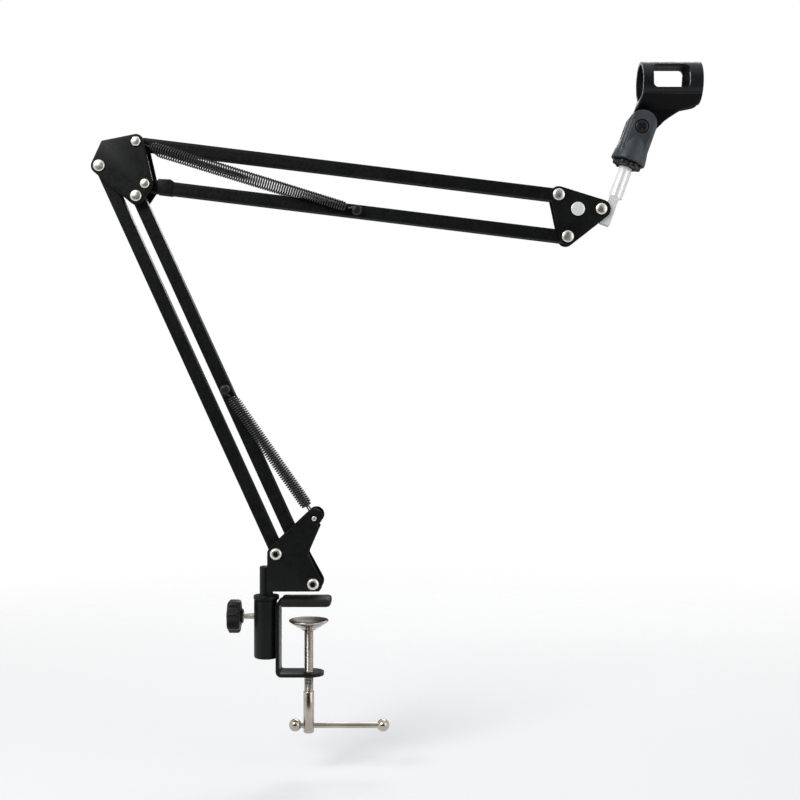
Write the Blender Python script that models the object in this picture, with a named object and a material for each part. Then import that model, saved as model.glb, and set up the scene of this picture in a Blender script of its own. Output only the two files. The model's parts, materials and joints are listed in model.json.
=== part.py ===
"""Spring-balanced suspension boom for a microphone, clamped to the edge of a desk.

Two parallelogram arms stand on a swivelling post.  A pair of tension springs balances each arm.
The outer end carries a tilting stud, a lock ring and a plastic microphone clip.

Units are metres and +Z is up.  The origin is where the axis of the clamp screw meets the
underside of the upper jaw, which is the level of the desk top.  The arms move in the XZ plane,
the middle of the boom is Y = 0, and the front of the boom faces -Y.
"""

import math

import bmesh
import bpy
from mathutils import Matrix, Vector

# ---------------------------------------------------------------- driving dimensions
GAP = 0.0003                     # clearance between pieces that touch on the real boom

# arms
BAR_LENGTH = 0.360               # pivot to pivot
BAR_WIDTH = 0.011                # square tube
BAR_WALL = 0.0012
LOWER_LEAN = math.radians(24.5)  # lower arm, away from vertical
UPPER_DROP = math.radians(7.0)   # upper arm, below horizontal
PIN_R = 0.0029                   # every main pivot pin
PIN_HOLE_R = PIN_R + GAP
BUSH_R = 0.0050

# base bracket
PIVOT_A = (-0.0266, 0.04525)     # x, z of the left base pivot
BASE_SPACING = 0.0402
BASE_SLOPE = math.radians(-39.35)
ANCHOR = (0.0055, 0.0750)        # x, z where the lower springs hook on
ANCHOR_LOBE = (0.0058, 0.0766)
BRACKET_BOTTOM = 0.0134
BRACKET_WEB_TOP = 0.0360
PLATE_INNER_Y = 0.0110           # bracket and elbow plates, either side of the bars
PLATE_THICK = 0.0020
BRACKET_LEFT_R = 0.0076          # round each pivot and the spring anchor
BRACKET_RIGHT_R = 0.0079
BRACKET_TIP_R = 0.0068
NUT_FLATS = 0.0100
RIVET_HEIGHT = 0.0020

# elbow and head, given from the pivots they hang on
TOP_FROM_LEFT = (0.0310, 0.0203)
RIGHT_FROM_TOP = (0.0076, -0.03555)
ELBOW_CORNER_FROM_LEFT = (0.0034, 0.0192)
SPACER_FROM_HEAD_TOP = (0.0162, -0.0122)
TIP_FROM_HEAD_TOP = (0.0361, -0.0122)
HEAD_INNER_Y = 0.0058

# springs
COIL_R = 0.0038
WIRE_R = 0.0007
COIL_Y = 0.0103
HOOK_Y = 0.0086
COIL_PITCH = 0.0056
SPRING_PIN_R = 0.0024
ANCHOR_PIN_R = 0.0013
SPRING_PIN_REACH = 0.0122
SPRING_PIN_HEAD_R = 0.0041
SPRING_PIN_HEAD_HEIGHT = 0.0018

# post and clamp
POST_X = -0.0362
POST_R = 0.0058
POST_TOP = 0.0333
POST_BOTTOM = -0.0400
SOCKET_R = 0.0105
SOCKET_LIP_R = 0.0109
SOCKET_TOP = 0.0088
SOCKET_BOTTOM = -0.0449
THUMB_Z = -0.0093
THUMB_STUD_R = 0.0026
KNOB_FACE_X = -0.0558
KNOB_BACK_X = -0.0689
KNOB_R = 0.0132
KNOB_FLUTE = 0.0013
KNOB_LOBES = 7
WEB_LEFT = -0.0272
STRIP_THICK = 0.0030
STRIP_WIDTH = 0.0250
STRIP_BEND_R = 0.0050
TONGUE_TOP = 0.0052
TONGUE_END = 0.0170
ARM_BOTTOM = -0.0593
ARM_END = 0.0130
JAW_HALF_WIDTH = 0.0147
SCREW_R = 0.0040
PAD_RIM_Z = -0.0125
PAD_R = 0.0169
SCREW_END_Z = -0.1087
SCREW_HEAD_Z = -0.0730
TOMMY_Z = -0.1025
TOMMY_R = 0.0024
TOMMY_BALL_R = 0.0054
TOMMY_BALLS_X = (-0.0114, 0.0633)

# swivel stud and microphone clip, along the stem's own axis
STEM_TILT = math.radians(20.0)
STEM_OFFSET = 0.0082             # stem axis, to the right of the tilt pivot
STEM_R = 0.0060
THREAD_R = 0.0047
RING_FROM_TIP = 0.0420
RING_THICK = 0.0040
CLIP_PIVOT_FROM_TIP = 0.0769
CLIP_TUBE_R = 0.0181
CLIP_BORE_R = 0.0153
CLIP_TUBE_LENGTH = 0.0505
CLIP_TUBE_RISE = 0.0386          # tube axis above the clip pivot
CLIP_SLOT_HALF = 0.0040
CLIP_BASE_HALF_Y = 0.0110
EAR_R = 0.0124
EAR_RISE = 0.0017                # centre of the rounded ears above the pivot

FRONT = -1
BACK = 1


# ---------------------------------------------------------------- finishes
FINISHES = {
    "black_steel": ((0.020, 0.021, 0.022), 0.35, 0.42),
    "black_spring": ((0.018, 0.018, 0.019), 0.55, 0.38),
    "dark_pin": ((0.045, 0.045, 0.045), 0.75, 0.35),
    "bright_steel": ((0.62, 0.62, 0.58), 1.00, 0.30),
    "nickel": ((0.66, 0.62, 0.55), 1.00, 0.22),
    "chrome": ((0.82, 0.82, 0.83), 1.00, 0.08),
    "rubber": ((0.022, 0.022, 0.020), 0.00, 0.75),
    "black_plastic": ((0.020, 0.020, 0.022), 0.00, 0.45),
    "charcoal_plastic": ((0.045, 0.048, 0.052), 0.00, 0.55),
}


def make_material(node, finish):
    color, metallic, roughness = FINISHES[finish]
    material = bpy.data.materials.new(node + "_finish")
    material.use_nodes = True
    shader = material.node_tree.nodes["Principled BSDF"]
    shader.inputs["Base Color"].default_value = (*color, 1.0)
    shader.inputs["Metallic"].default_value = metallic
    shader.inputs["Roughness"].default_value = roughness
    return material


# ---------------------------------------------------------------- flat geometry, as (x, z) pairs
def add(p, q):
    return (p[0] + q[0], p[1] + q[1])


def polar(centre, radius, angle):
    return (centre[0] + radius * math.cos(angle), centre[1] + radius * math.sin(angle))


def arc(centre, radius, start_deg, end_deg, steps):
    turn = (end_deg - start_deg) / steps
    return [polar(centre, radius, math.radians(start_deg + turn * i)) for i in range(steps + 1)]


def circle(centre, radius, steps):
    return arc(centre, radius, 0, 360, steps)[:-1]


def lobed_circle(radius, depth, lobes, steps):
    points = []
    for i in range(steps):
        angle = 2 * math.pi * i / steps
        points.append(polar((0, 0), radius + depth * math.cos(lobes * angle), angle))
    return points


def hull(points):
    """Convex outline round the points, anticlockwise."""
    ordered = sorted(set(points))

    def half(run):
        out = []
        for p in run:
            while len(out) > 1 and turn_of(out[-2], out[-1], p) <= 1e-12:
                out.pop()
            out.append(p)
        return out[:-1]

    return half(ordered) + half(ordered[::-1])


def turn_of(a, b, c):
    return (b[0] - a[0]) * (c[1] - a[1]) - (b[1] - a[1]) * (c[0] - a[0])


def ears(*discs, steps=20):
    """Outline of a plate stretched round several (centre, radius) discs."""
    points = []
    for centre, radius in discs:
        points += circle(centre, radius, steps)
    return hull(points)


# ---------------------------------------------------------------- places worked out from the above
def direction(angle):
    return (math.cos(angle), math.sin(angle))


def step(start, along, distance):
    return (start[0] + along[0] * distance, start[1] + along[1] * distance)


LOWER_DIR = (-math.sin(LOWER_LEAN), math.cos(LOWER_LEAN))
UPPER_DIR = (math.cos(UPPER_DROP), -math.sin(UPPER_DROP))
STEM_DIR = (math.sin(STEM_TILT), math.cos(STEM_TILT))
STEM_SIDE = (math.cos(STEM_TILT), -math.sin(STEM_TILT))

PIVOT_B = step(PIVOT_A, direction(BASE_SLOPE), BASE_SPACING)
ELBOW_LEFT = step(PIVOT_A, LOWER_DIR, BAR_LENGTH)
ELBOW_BOTTOM = step(PIVOT_B, LOWER_DIR, BAR_LENGTH)
ELBOW_TOP = add(ELBOW_LEFT, TOP_FROM_LEFT)
ELBOW_RIGHT = add(ELBOW_TOP, RIGHT_FROM_TOP)
ELBOW_CORNER = add(ELBOW_LEFT, ELBOW_CORNER_FROM_LEFT)
HEAD_TOP = step(ELBOW_TOP, UPPER_DIR, BAR_LENGTH)
HEAD_BOTTOM = step(ELBOW_RIGHT, UPPER_DIR, BAR_LENGTH)
HEAD_SPACER = add(HEAD_TOP, SPACER_FROM_HEAD_TOP)
TIP = add(HEAD_TOP, TIP_FROM_HEAD_TOP)
LOWER_SPRING_PIN = step(PIVOT_B, LOWER_DIR, BAR_LENGTH / 2)
UPPER_SPRING_PIN = step(ELBOW_RIGHT, UPPER_DIR, BAR_LENGTH / 2)
STEM_FOOT = step(TIP, STEM_SIDE, STEM_OFFSET)
RING_BASE = step(STEM_FOOT, STEM_DIR, RING_FROM_TIP)
CLIP_FOOT = step(STEM_FOOT, STEM_DIR, RING_FROM_TIP + RING_THICK + GAP)
CLIP_PIVOT = step(STEM_FOOT, STEM_DIR, CLIP_PIVOT_FROM_TIP)
PLATE_OUTER_Y = PLATE_INNER_Y + PLATE_THICK
HALF_BAR = BAR_WIDTH / 2


# ---------------------------------------------------------------- mesh builders
def finish_mesh(name, bm, smooth_angle=35):
    bmesh.ops.recalc_face_normals(bm, faces=bm.faces)
    mesh = bpy.data.meshes.new(name)
    bm.to_mesh(mesh)
    bm.free()
    mesh.shade_smooth()
    mesh.set_sharp_from_angle(angle=math.radians(smooth_angle))
    return mesh


def prism_mesh(name, outline, y_low, y_high):
    """An (x, z) outline extruded along Y."""
    bm = bmesh.new()
    face = bm.faces.new([bm.verts.new((x, y_low, z)) for x, z in outline])
    grown = bmesh.ops.extrude_face_region(bm, geom=[face])
    moved = [g for g in grown["geom"] if isinstance(g, bmesh.types.BMVert)]
    bmesh.ops.translate(bm, verts=moved, vec=(0, y_high - y_low, 0))
    return finish_mesh(name, bm)


def plate_mesh(name, outline, holes, y_low, y_high):
    """A flat plate with round holes, each hole an (x, z) outline of its own."""
    bm = bmesh.new()
    edges = []
    for loop in [outline] + holes:
        verts = [bm.verts.new((x, y_low, z)) for x, z in loop]
        edges += [bm.edges.new((verts[i - 1], verts[i])) for i in range(len(verts))]
    filled = bmesh.ops.triangle_fill(bm, edges=edges, use_beauty=True)
    faces = [g for g in filled["geom"] if isinstance(g, bmesh.types.BMFace)]
    grown = bmesh.ops.extrude_face_region(bm, geom=faces)
    moved = [g for g in grown["geom"] if isinstance(g, bmesh.types.BMVert)]
    bmesh.ops.translate(bm, verts=moved, vec=(0, y_high - y_low, 0))
    return finish_mesh(name, bm)


def turned_mesh(name, profile, steps, closed=False):
    """A profile of (radius, height) turned about the local Z axis."""
    bm = bmesh.new()
    verts = [bm.verts.new((r, 0, h)) for r, h in profile]
    edges = [bm.edges.new(pair) for pair in zip(verts, verts[1:])]
    if closed:
        edges.append(bm.edges.new((verts[-1], verts[0])))
    bmesh.ops.spin(
        bm, geom=verts + edges, cent=(0, 0, 0), axis=(0, 0, 1), angle=2 * math.pi, steps=steps,
        use_merge=True,
    )
    bmesh.ops.remove_doubles(bm, verts=bm.verts, dist=1e-6)
    return finish_mesh(name, bm)


def stacked_mesh(name, outlines):
    """A solid through a stack of equal-length (height, outline) rings along local Z."""
    bm = bmesh.new()
    rings = [[bm.verts.new((x, y, h)) for x, y in outline] for h, outline in outlines]
    bm.faces.new(rings[0][::-1])
    bm.faces.new(rings[-1])
    for low, high in zip(rings, rings[1:]):
        for i in range(len(low)):
            j = (i + 1) % len(low)
            bm.faces.new((low[i], low[j], high[j], high[i]))
    return finish_mesh(name, bm)


def wire_mesh(name, points, radius, sides):
    """A closed wire of regular section swept along a path."""
    bm = bmesh.new()
    rings = []
    normal = Vector((0, 1, 0))
    for i, point in enumerate(points):
        before = points[max(i - 1, 0)]
        after = points[min(i + 1, len(points) - 1)]
        tangent = (after - before).normalized()
        normal = (normal - tangent * normal.dot(tangent)).normalized()
        across = tangent.cross(normal)
        ring = []
        for k in range(sides):
            angle = 2 * math.pi * k / sides
            offset = normal * math.cos(angle) + across * math.sin(angle)
            ring.append(bm.verts.new(point + offset * radius))
        rings.append(ring)
    for low, high in zip(rings, rings[1:]):
        for k in range(sides):
            j = (k + 1) % sides
            bm.faces.new((low[k], low[j], high[j], high[k]))
    bm.faces.new(rings[0][::-1])
    bm.faces.new(rings[-1])
    return finish_mesh(name, bm, 60)


ALONG_Y = Matrix.Rotation(math.radians(-90), 4, "X")   # local +Z to world +Y
ALONG_X = Matrix.Rotation(math.radians(90), 4, "Y")    # local +Z to world +X
ALONG_Z = Matrix.Identity(4)
ALONG_STEM = Matrix.Rotation(STEM_TILT, 4, "Y")        # local +Z up the stem


# ---------------------------------------------------------------- placing
BODIES = {}


def make_body(name, parent, x, z):
    """An empty on the joint axis of one moving body."""
    empty = bpy.data.objects.new("axis_" + name, None)
    bpy.context.scene.collection.objects.link(empty)
    empty.empty_display_size = 0.01
    here = Vector((x, 0, z))
    if parent:
        empty.parent = BODIES[parent][0]
        empty.location = here - BODIES[parent][1]
    else:
        empty.location = here
    BODIES[name] = (empty, here)


def place(name, mesh, body, finish, at=(0, 0), y=0.0, turn=ALONG_Z):
    """Put a mesh at (x, z) on a body, turned so that its local axis lies as asked."""
    obj = bpy.data.objects.new(name, mesh)
    bpy.context.scene.collection.objects.link(obj)
    obj.data.materials.append(make_material(name, finish))
    empty, origin = BODIES[body]
    obj.parent = empty
    obj.location = Vector((at[0], y, at[1])) - origin
    obj.rotation_euler = turn.to_euler()
    return obj


def boolean(obj, mesh, operation="DIFFERENCE", at=(0, 0), y=0.0, turn=ALONG_Z):
    """Cut a tool mesh from an object, or join it on."""
    tool = bpy.data.objects.new("tool_" + mesh.name, mesh)
    bpy.context.scene.collection.objects.link(tool)
    tool.location = (at[0], y, at[1])
    tool.rotation_euler = turn.to_euler()
    tool.hide_render = True
    tool.display_type = "WIRE"
    modifier = obj.modifiers.new(operation.lower(), "BOOLEAN")
    modifier.object = tool
    modifier.operation = operation
    modifier.solver = "EXACT"


def round_tool(radius, low, high, steps=16):
    return turned_mesh("round", [(0, low), (radius, low), (radius, high), (0, high)], steps)


def drill_y(obj, at, radius, reach=0.03, steps=12):
    boolean(obj, round_tool(radius, -reach, reach, steps), at=at, turn=ALONG_Y)


def box_outline(x_low, z_low, x_high, z_high):
    return [(x_low, z_low), (x_high, z_low), (x_high, z_high), (x_low, z_high)]


def along(start, forward, points):
    """Move outline points given as (distance along, distance above) a direction."""
    up = (-forward[1], forward[0])
    return [step(step(start, forward, s), up, n) for s, n in points]


# ---------------------------------------------------------------- small hardware
def dome_head(radius, height, base):
    """Profile of a low domed head from its rim at base to its crown."""
    return [(radius, base), (radius * 0.80, base + height * 0.75), (0, base + height)]


def rivet(name, body, at, shank_r, head_r, reach, head_height, finish):
    """A rivet across the arm with a low domed head at each end."""
    top = dome_head(head_r, head_height, reach)
    profile = [(r, -h) for r, h in reversed(top)] + [(shank_r, -reach), (shank_r, reach)] + top
    return place(name, turned_mesh(name, profile, 14), body, finish, at=at, turn=ALONG_Y)


def bush(name, body, at, side, inner_y, outer_y):
    low, high = sorted((side * inner_y, side * outer_y))
    profile = [(PIN_HOLE_R, low), (BUSH_R, low), (BUSH_R, high), (PIN_HOLE_R, high)]
    mesh = turned_mesh(name, profile, 12, closed=True)
    place(name, mesh, body, "dark_pin", at=at, turn=ALONG_Y)


def bushes(stem, body, at):
    bush(stem + "_front", body, at, FRONT, HALF_BAR + GAP, PLATE_INNER_Y - GAP)
    bush(stem + "_back", body, at, BACK, HALF_BAR + GAP, PLATE_INNER_Y - GAP)


def hex_ring(name, across_flats, low, high):
    corner = across_flats / 2 / math.cos(math.pi / 6)
    outline = circle((0, 0), corner, 6)
    return stacked_mesh(name, [(low, outline), (high, outline)])


def nut(name, body, at, across_flats, low, high, hole_r, finish):
    obj = place(name, hex_ring(name, across_flats, low, high), body, finish, at=at, turn=ALONG_Y)
    boolean(obj, round_tool(hole_r, low - 0.01, high + 0.01, 12), at=at, turn=ALONG_Y)


# ---------------------------------------------------------------- clamp
def clamp_outline():
    """Side view of the bent strip: tongue, back web and lower arm."""
    outer = STRIP_BEND_R
    inner = outer - STRIP_THICK
    corner_x = WEB_LEFT + outer
    top_z = TONGUE_TOP - outer
    low_z = ARM_BOTTOM + outer
    points = [(TONGUE_END, TONGUE_TOP)]
    points += arc((corner_x, top_z), outer, 90, 180, 5)
    points += arc((corner_x, low_z), outer, 180, 270, 5)
    points += [(ARM_END, ARM_BOTTOM), (ARM_END, ARM_BOTTOM + STRIP_THICK)]
    points += arc((corner_x, low_z), inner, 270, 180, 4)
    points += arc((corner_x, top_z), inner, 180, 90, 4)
    points += [(TONGUE_END, TONGUE_TOP - STRIP_THICK)]
    return points


def end_rounding_tool():
    """What lies outside the rounded end of the lower arm, seen from above."""
    half = STRIP_WIDTH / 2
    centre_x = ARM_END - half
    plan = arc((centre_x, 0), half, 90, -90, 12)
    plan += [(centre_x, -0.02), (0.02, -0.02), (0.02, 0.02), (centre_x, 0.02)]
    low = ARM_BOTTOM - 0.003
    return stacked_mesh("arm_end", [(low, plan), (low + 0.010, plan)])


def build_clamp_frame():
    half = STRIP_WIDTH / 2
    mesh = prism_mesh("clamp_frame", clamp_outline(), -half, half)
    frame = place("clamp_frame", mesh, "clamp", "black_steel")
    boolean(frame, end_rounding_tool())
    boolean(frame, round_tool(SCREW_R + GAP, ARM_BOTTOM - 0.005, ARM_BOTTOM + 0.010, 20))


def build_jaw_pad():
    """Moulded rubber sleeve pushed over the tongue, open at the web end."""
    outer = [(-0.0225, 0.0012), (-0.0213, 0.0), (0.0172, 0.0), (0.0190, 0.0018),
             (0.0190, 0.0056), (0.0172, 0.0074), (-0.0213, 0.0074), (-0.0225, 0.0062)]
    mesh = prism_mesh("jaw_pad", outer, -JAW_HALF_WIDTH, JAW_HALF_WIDTH)
    obj = place("jaw_pad", mesh, "clamp", "rubber")
    cavity_half = STRIP_WIDTH / 2 + GAP
    cavity = box_outline(-0.030, TONGUE_TOP - STRIP_THICK - GAP, TONGUE_END + GAP,
                         TONGUE_TOP + GAP)
    boolean(obj, prism_mesh("jaw_cavity", cavity, -cavity_half, cavity_half))


def build_post_socket():
    lip_low = SOCKET_TOP - 0.0036
    bore = POST_R + GAP
    floor = SOCKET_BOTTOM + 0.0029
    profile = [(bore, SOCKET_TOP), (SOCKET_LIP_R - 0.0008, SOCKET_TOP),
               (SOCKET_LIP_R, SOCKET_TOP - 0.0008), (SOCKET_LIP_R, lip_low),
               (SOCKET_R, lip_low - 0.0012), (SOCKET_R, SOCKET_BOTTOM + 0.0020),
               (SOCKET_R - 0.0020, SOCKET_BOTTOM), (0, SOCKET_BOTTOM), (0, floor), (bore, floor)]
    mesh = turned_mesh("post_socket", profile, 20, closed=True)
    obj = place("post_socket", mesh, "clamp", "black_steel", at=(POST_X, 0))
    web_space = box_outline(WEB_LEFT - GAP, SOCKET_BOTTOM - 0.010, 0.0, lip_low - 0.0006)
    boolean(obj, prism_mesh("web_space", web_space, -0.02, 0.02))
    bore_tool = round_tool(bore, floor, 0.0, 20)
    boolean(obj, bore_tool, at=(POST_X, 0))
    stud_tool = round_tool(THUMB_STUD_R + GAP, -0.020, 0, 12)
    boolean(obj, stud_tool, at=(POST_X, THUMB_Z), turn=ALONG_X)


def build_thumb_screw():
    tip = POST_X - POST_R - GAP
    end = KNOB_BACK_X + 0.0030
    profile = [(0, end), (THUMB_STUD_R, end), (THUMB_STUD_R, tip - 0.0008),
               (THUMB_STUD_R - 0.0008, tip), (0, tip)]
    mesh = turned_mesh("thumb_stud", profile, 12)
    place("thumb_stud", mesh, "thumb_stud", "bright_steel", at=(0, THUMB_Z), turn=ALONG_X)
    rings = []
    bevel_x = 0.0018
    bevel_r = 0.0020
    for x, radius in ((KNOB_BACK_X, KNOB_R - bevel_r), (KNOB_BACK_X + bevel_x, KNOB_R),
                      (KNOB_FACE_X - bevel_x, KNOB_R), (KNOB_FACE_X, KNOB_R - bevel_r)):
        rings.append((x, lobed_circle(radius, KNOB_FLUTE, KNOB_LOBES, 6 * KNOB_LOBES)))
    knob = place("thumb_knob", stacked_mesh("thumb_knob", rings), "thumb_knob", "black_plastic",
                 at=(0, THUMB_Z), turn=ALONG_X)
    blind = round_tool(THUMB_STUD_R + GAP, end - GAP, KNOB_FACE_X + 0.010, 12)
    boolean(knob, blind, at=(0, THUMB_Z), turn=ALONG_X)


def build_clamp_screw():
    """Swivelling cup pad, screw, sliding bar and its two end balls."""
    hub_top = PAD_RIM_Z - 0.0048
    hub_low = PAD_RIM_Z - 0.0084
    bore = SCREW_R + GAP
    profile = [(0, PAD_RIM_Z - 0.0028), (0.0080, PAD_RIM_Z - 0.0020), (0.0148, PAD_RIM_Z),
               (PAD_R, PAD_RIM_Z), (PAD_R, PAD_RIM_Z - 0.0012), (0.0105, PAD_RIM_Z - 0.0056),
               (0.0068, hub_low + 0.0012), (0.0062, hub_low), (bore, hub_low), (bore, hub_top),
               (0, hub_top)]
    place("pressure_pad", turned_mesh("pressure_pad", profile, 20), "pressure_pad", "nickel")
    tip = hub_top - GAP
    profile = [(0, tip), (SCREW_R - 0.0008, tip), (SCREW_R, tip - 0.0008), (SCREW_R, SCREW_HEAD_Z),
               (SCREW_R + 0.0006, SCREW_HEAD_Z - 0.0008), (SCREW_R + 0.0006, SCREW_END_Z + 0.0010),
               (SCREW_R - 0.0004, SCREW_END_Z), (0, SCREW_END_Z)]
    screw = place("clamp_screw", turned_mesh("clamp_screw", profile, 16), "clamp_screw", "nickel")
    boolean(screw, round_tool(TOMMY_R + GAP, -0.02, 0.02, 12), at=(0, TOMMY_Z), turn=ALONG_X)
    left, right = TOMMY_BALLS_X
    inset = 0.0018
    rod = [(0, left - inset), (TOMMY_R, left - inset), (TOMMY_R, right + inset),
           (0, right + inset)]
    place("tommy_bar", turned_mesh("tommy_bar", rod, 12), "tommy_bar", "nickel",
          at=(0, TOMMY_Z), turn=ALONG_X)
    tommy_ball("tommy_ball_left", left, Matrix.Rotation(math.radians(-90), 4, "Y"), inset)
    tommy_ball("tommy_ball_right", right, ALONG_X, inset)


def tommy_ball(name, x, outward, inset):
    """A ball pressed on the rod's end: its blind bore opens towards the screw."""
    bore = TOMMY_R + GAP
    opening = math.degrees(math.acos(bore / TOMMY_BALL_R))
    profile = arc((0, 0), TOMMY_BALL_R, -opening, 90, 6)[:-1]
    profile += [(0, TOMMY_BALL_R), (0, inset + GAP), (bore, inset + GAP)]
    mesh = turned_mesh(name, profile, 12, closed=True)
    place(name, mesh, "tommy_bar", "nickel", at=(x, TOMMY_Z), turn=outward)


# ---------------------------------------------------------------- base bracket
def bracket_outline():
    left = PIVOT_A[0] - BRACKET_LEFT_R
    points = [(left, BRACKET_BOTTOM)]
    points += arc(PIVOT_A, BRACKET_LEFT_R, 180, 134, 4)
    points += arc(ANCHOR_LOBE, BRACKET_TIP_R, 134, -72, 11)
    points += [(0.0095, 0.0672), (0.0003, 0.0462), (0.0001, 0.0442)]
    points += arc(PIVOT_B, BRACKET_RIGHT_R, 32, -52, 5)
    points += [(0.0012, BRACKET_BOTTOM)]
    return points


def build_base():
    outline = bracket_outline()
    left = outline[0][0]
    mesh = prism_mesh("base_bracket", outline, -PLATE_OUTER_Y, PLATE_OUTER_Y)
    bracket = place("base_bracket", mesh, "base", "black_steel")
    web_right = left + PLATE_THICK
    inside = [(web_right, 0.0), (0.04, 0.0), (0.04, 0.11), (-0.07, 0.11),
              (-0.07, BRACKET_WEB_TOP), (web_right, BRACKET_WEB_TOP)]
    boolean(bracket, prism_mesh("channel", inside, -PLATE_INNER_Y, PLATE_INNER_Y))
    drill_y(bracket, PIVOT_A, PIN_HOLE_R)
    drill_y(bracket, PIVOT_B, PIN_HOLE_R)
    drill_y(bracket, ANCHOR, ANCHOR_PIN_R + GAP, steps=10)
    profile = [(0, POST_BOTTOM), (POST_R - 0.0010, POST_BOTTOM), (POST_R, POST_BOTTOM + 0.0010),
               (POST_R, POST_TOP - 0.0006), (POST_R - 0.0006, POST_TOP), (0, POST_TOP)]
    post = place("post", turned_mesh("post", profile, 18), "base", "black_steel", at=(POST_X, 0))
    flat = box_outline(left - GAP, BRACKET_BOTTOM - GAP, 0.0, 0.05)
    boolean(post, prism_mesh("post_flat", flat, -0.02, 0.02))
    for side, name in ((FRONT, "front"), (BACK, "back")):
        anchor_stub("spring_anchor_" + name, side)
    for name, pivot in (("left", PIVOT_A), ("right", PIVOT_B)):
        base_bolt("base_bolt_" + name, pivot)
        nut_low = PLATE_OUTER_Y + GAP
        nut("base_nut_" + name, "base", pivot, NUT_FLATS, nut_low, nut_low + 0.0050, PIN_HOLE_R,
            "bright_steel")
        bushes("base_bush_" + name, "base", pivot)


def anchor_stub(name, side):
    """Short rivet through one bracket plate, with a collar that keeps the spring's eye on."""
    face = PLATE_OUTER_Y + GAP
    collar = HALF_BAR + 0.0007
    profile = [(0, collar), (0.0022, collar), (0.0022, collar + 0.0008),
               (ANCHOR_PIN_R, collar + 0.0008), (ANCHOR_PIN_R, face), (0.0020, face),
               (0.0014, face + 0.0008), (0, face + 0.0008)]
    mesh = turned_mesh(name, [(r, side * h) for r, h in profile], 10)
    place(name, mesh, "base", "bright_steel", at=ANCHOR, turn=ALONG_Y)


def base_bolt(name, pivot):
    """Button-head bolt with a hexagon socket, its head at the front."""
    seat = PLATE_OUTER_Y + GAP
    end = PLATE_OUTER_Y + 0.0068
    profile = [(0, -seat - 0.0032), (0.0030, -seat - 0.0032), (0.0045, -seat - 0.0022),
               (0.00525, -seat - 0.0006), (0.00525, -seat), (PIN_R, -seat), (PIN_R, end - 0.0006),
               (PIN_R - 0.0006, end), (0, end)]
    bolt = place(name, turned_mesh(name, profile, 16), "base", "bright_steel", at=pivot,
                 turn=ALONG_Y)
    socket = hex_ring("socket", 0.0040, -seat - 0.0040, -seat - 0.0012)
    boolean(bolt, socket, at=pivot, turn=ALONG_Y)


# ---------------------------------------------------------------- bars and springs
def build_bar(name, body, start, forward, pin_hole=None):
    """Square tube with rounded, open ends."""
    slope = math.degrees(math.atan2(forward[1], forward[0]))
    end = step(start, forward, BAR_LENGTH)
    outline = arc(start, HALF_BAR, slope + 90, slope + 270, 7)
    outline += arc(end, HALF_BAR, slope - 90, slope + 90, 7)
    bar = place(name, prism_mesh(name, outline, -HALF_BAR, HALF_BAR), body, "black_steel")
    hollow = HALF_BAR - BAR_WALL
    reach = BAR_LENGTH + BAR_WIDTH
    inside = along(start, forward, [(-BAR_WIDTH, -hollow), (reach, -hollow), (reach, hollow),
                                    (-BAR_WIDTH, hollow)])
    boolean(bar, prism_mesh("bar_hollow", inside, -hollow, hollow))
    drill_y(bar, start, PIN_HOLE_R)
    drill_y(bar, end, PIN_HOLE_R)
    if pin_hole:
        drill_y(bar, pin_hole, SPRING_PIN_R + GAP, steps=10)


def eye(centre, towards, radius, steps):
    """Open loop of the spring's end, from its tip round to where the shank leaves."""
    heading = math.degrees(math.atan2(towards[1], towards[0]))
    return arc(centre, radius, heading + 40, heading + 325, steps)


def spring_path(start, end, start_eye, end_eye, start_y, end_y, coil_start, coil_end, side):
    """Centre line of one tension spring between two pins, eyes included."""
    span = Vector((end[0] - start[0], 0, end[1] - start[1]))
    length = span.length
    forward = (span.x / length, span.z / length)
    back = (-forward[0], -forward[1])
    up = (-forward[1], forward[0])

    def at(distance, y, sideways=0.0, lift=0.0):
        x, z = step(step(start, forward, distance), up, lift)
        return Vector((x, side * (y + sideways), z))

    points = [Vector((x, side * start_y, z)) for x, z in eye(start, forward, start_eye, 9)]
    points.append(at(start_eye + 0.0022, start_y))
    coil_length = length - coil_start - coil_end
    turns = round(coil_length / COIL_PITCH)
    per_turn = 5
    for i in range(turns * per_turn + 1):
        angle = math.pi + 2 * math.pi * i / per_turn
        distance = coil_start + coil_length * i / (turns * per_turn)
        points.append(at(distance, COIL_Y, COIL_R * math.cos(angle), COIL_R * math.sin(angle)))
    points.append(at(length - end_eye - 0.0022, end_y))
    tail = [Vector((x, side * end_y, z)) for x, z in eye(end, back, end_eye, 9)]
    return points + tail[::-1]


def build_springs():
    for side, name in ((FRONT, "front"), (BACK, "back")):
        path = spring_path(ANCHOR, LOWER_SPRING_PIN, 0.0033, 0.0037, HOOK_Y, COIL_Y,
                           0.0118, 0.0080, side)
        node = "lower_spring_" + name
        place(node, wire_mesh(node, path, WIRE_R, 3), "lower_bar_b", "black_spring")
        path = spring_path(ELBOW_TOP, UPPER_SPRING_PIN, 0.0041, 0.0037, HOOK_Y, COIL_Y,
                           0.0130, 0.0090, side)
        node = "upper_spring_" + name
        place(node, wire_mesh(node, path, WIRE_R, 3), "upper_bar_b", "black_spring")


def build_lower_arm():
    build_bar("lower_bar_a", "lower_bar_a", PIVOT_A, LOWER_DIR)
    build_bar("lower_bar_b", "lower_bar_b", PIVOT_B, LOWER_DIR, LOWER_SPRING_PIN)
    rivet("lower_spring_pin", "lower_bar_b", LOWER_SPRING_PIN, SPRING_PIN_R,
          SPRING_PIN_HEAD_R, SPRING_PIN_REACH, SPRING_PIN_HEAD_HEIGHT, "dark_pin")


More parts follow.
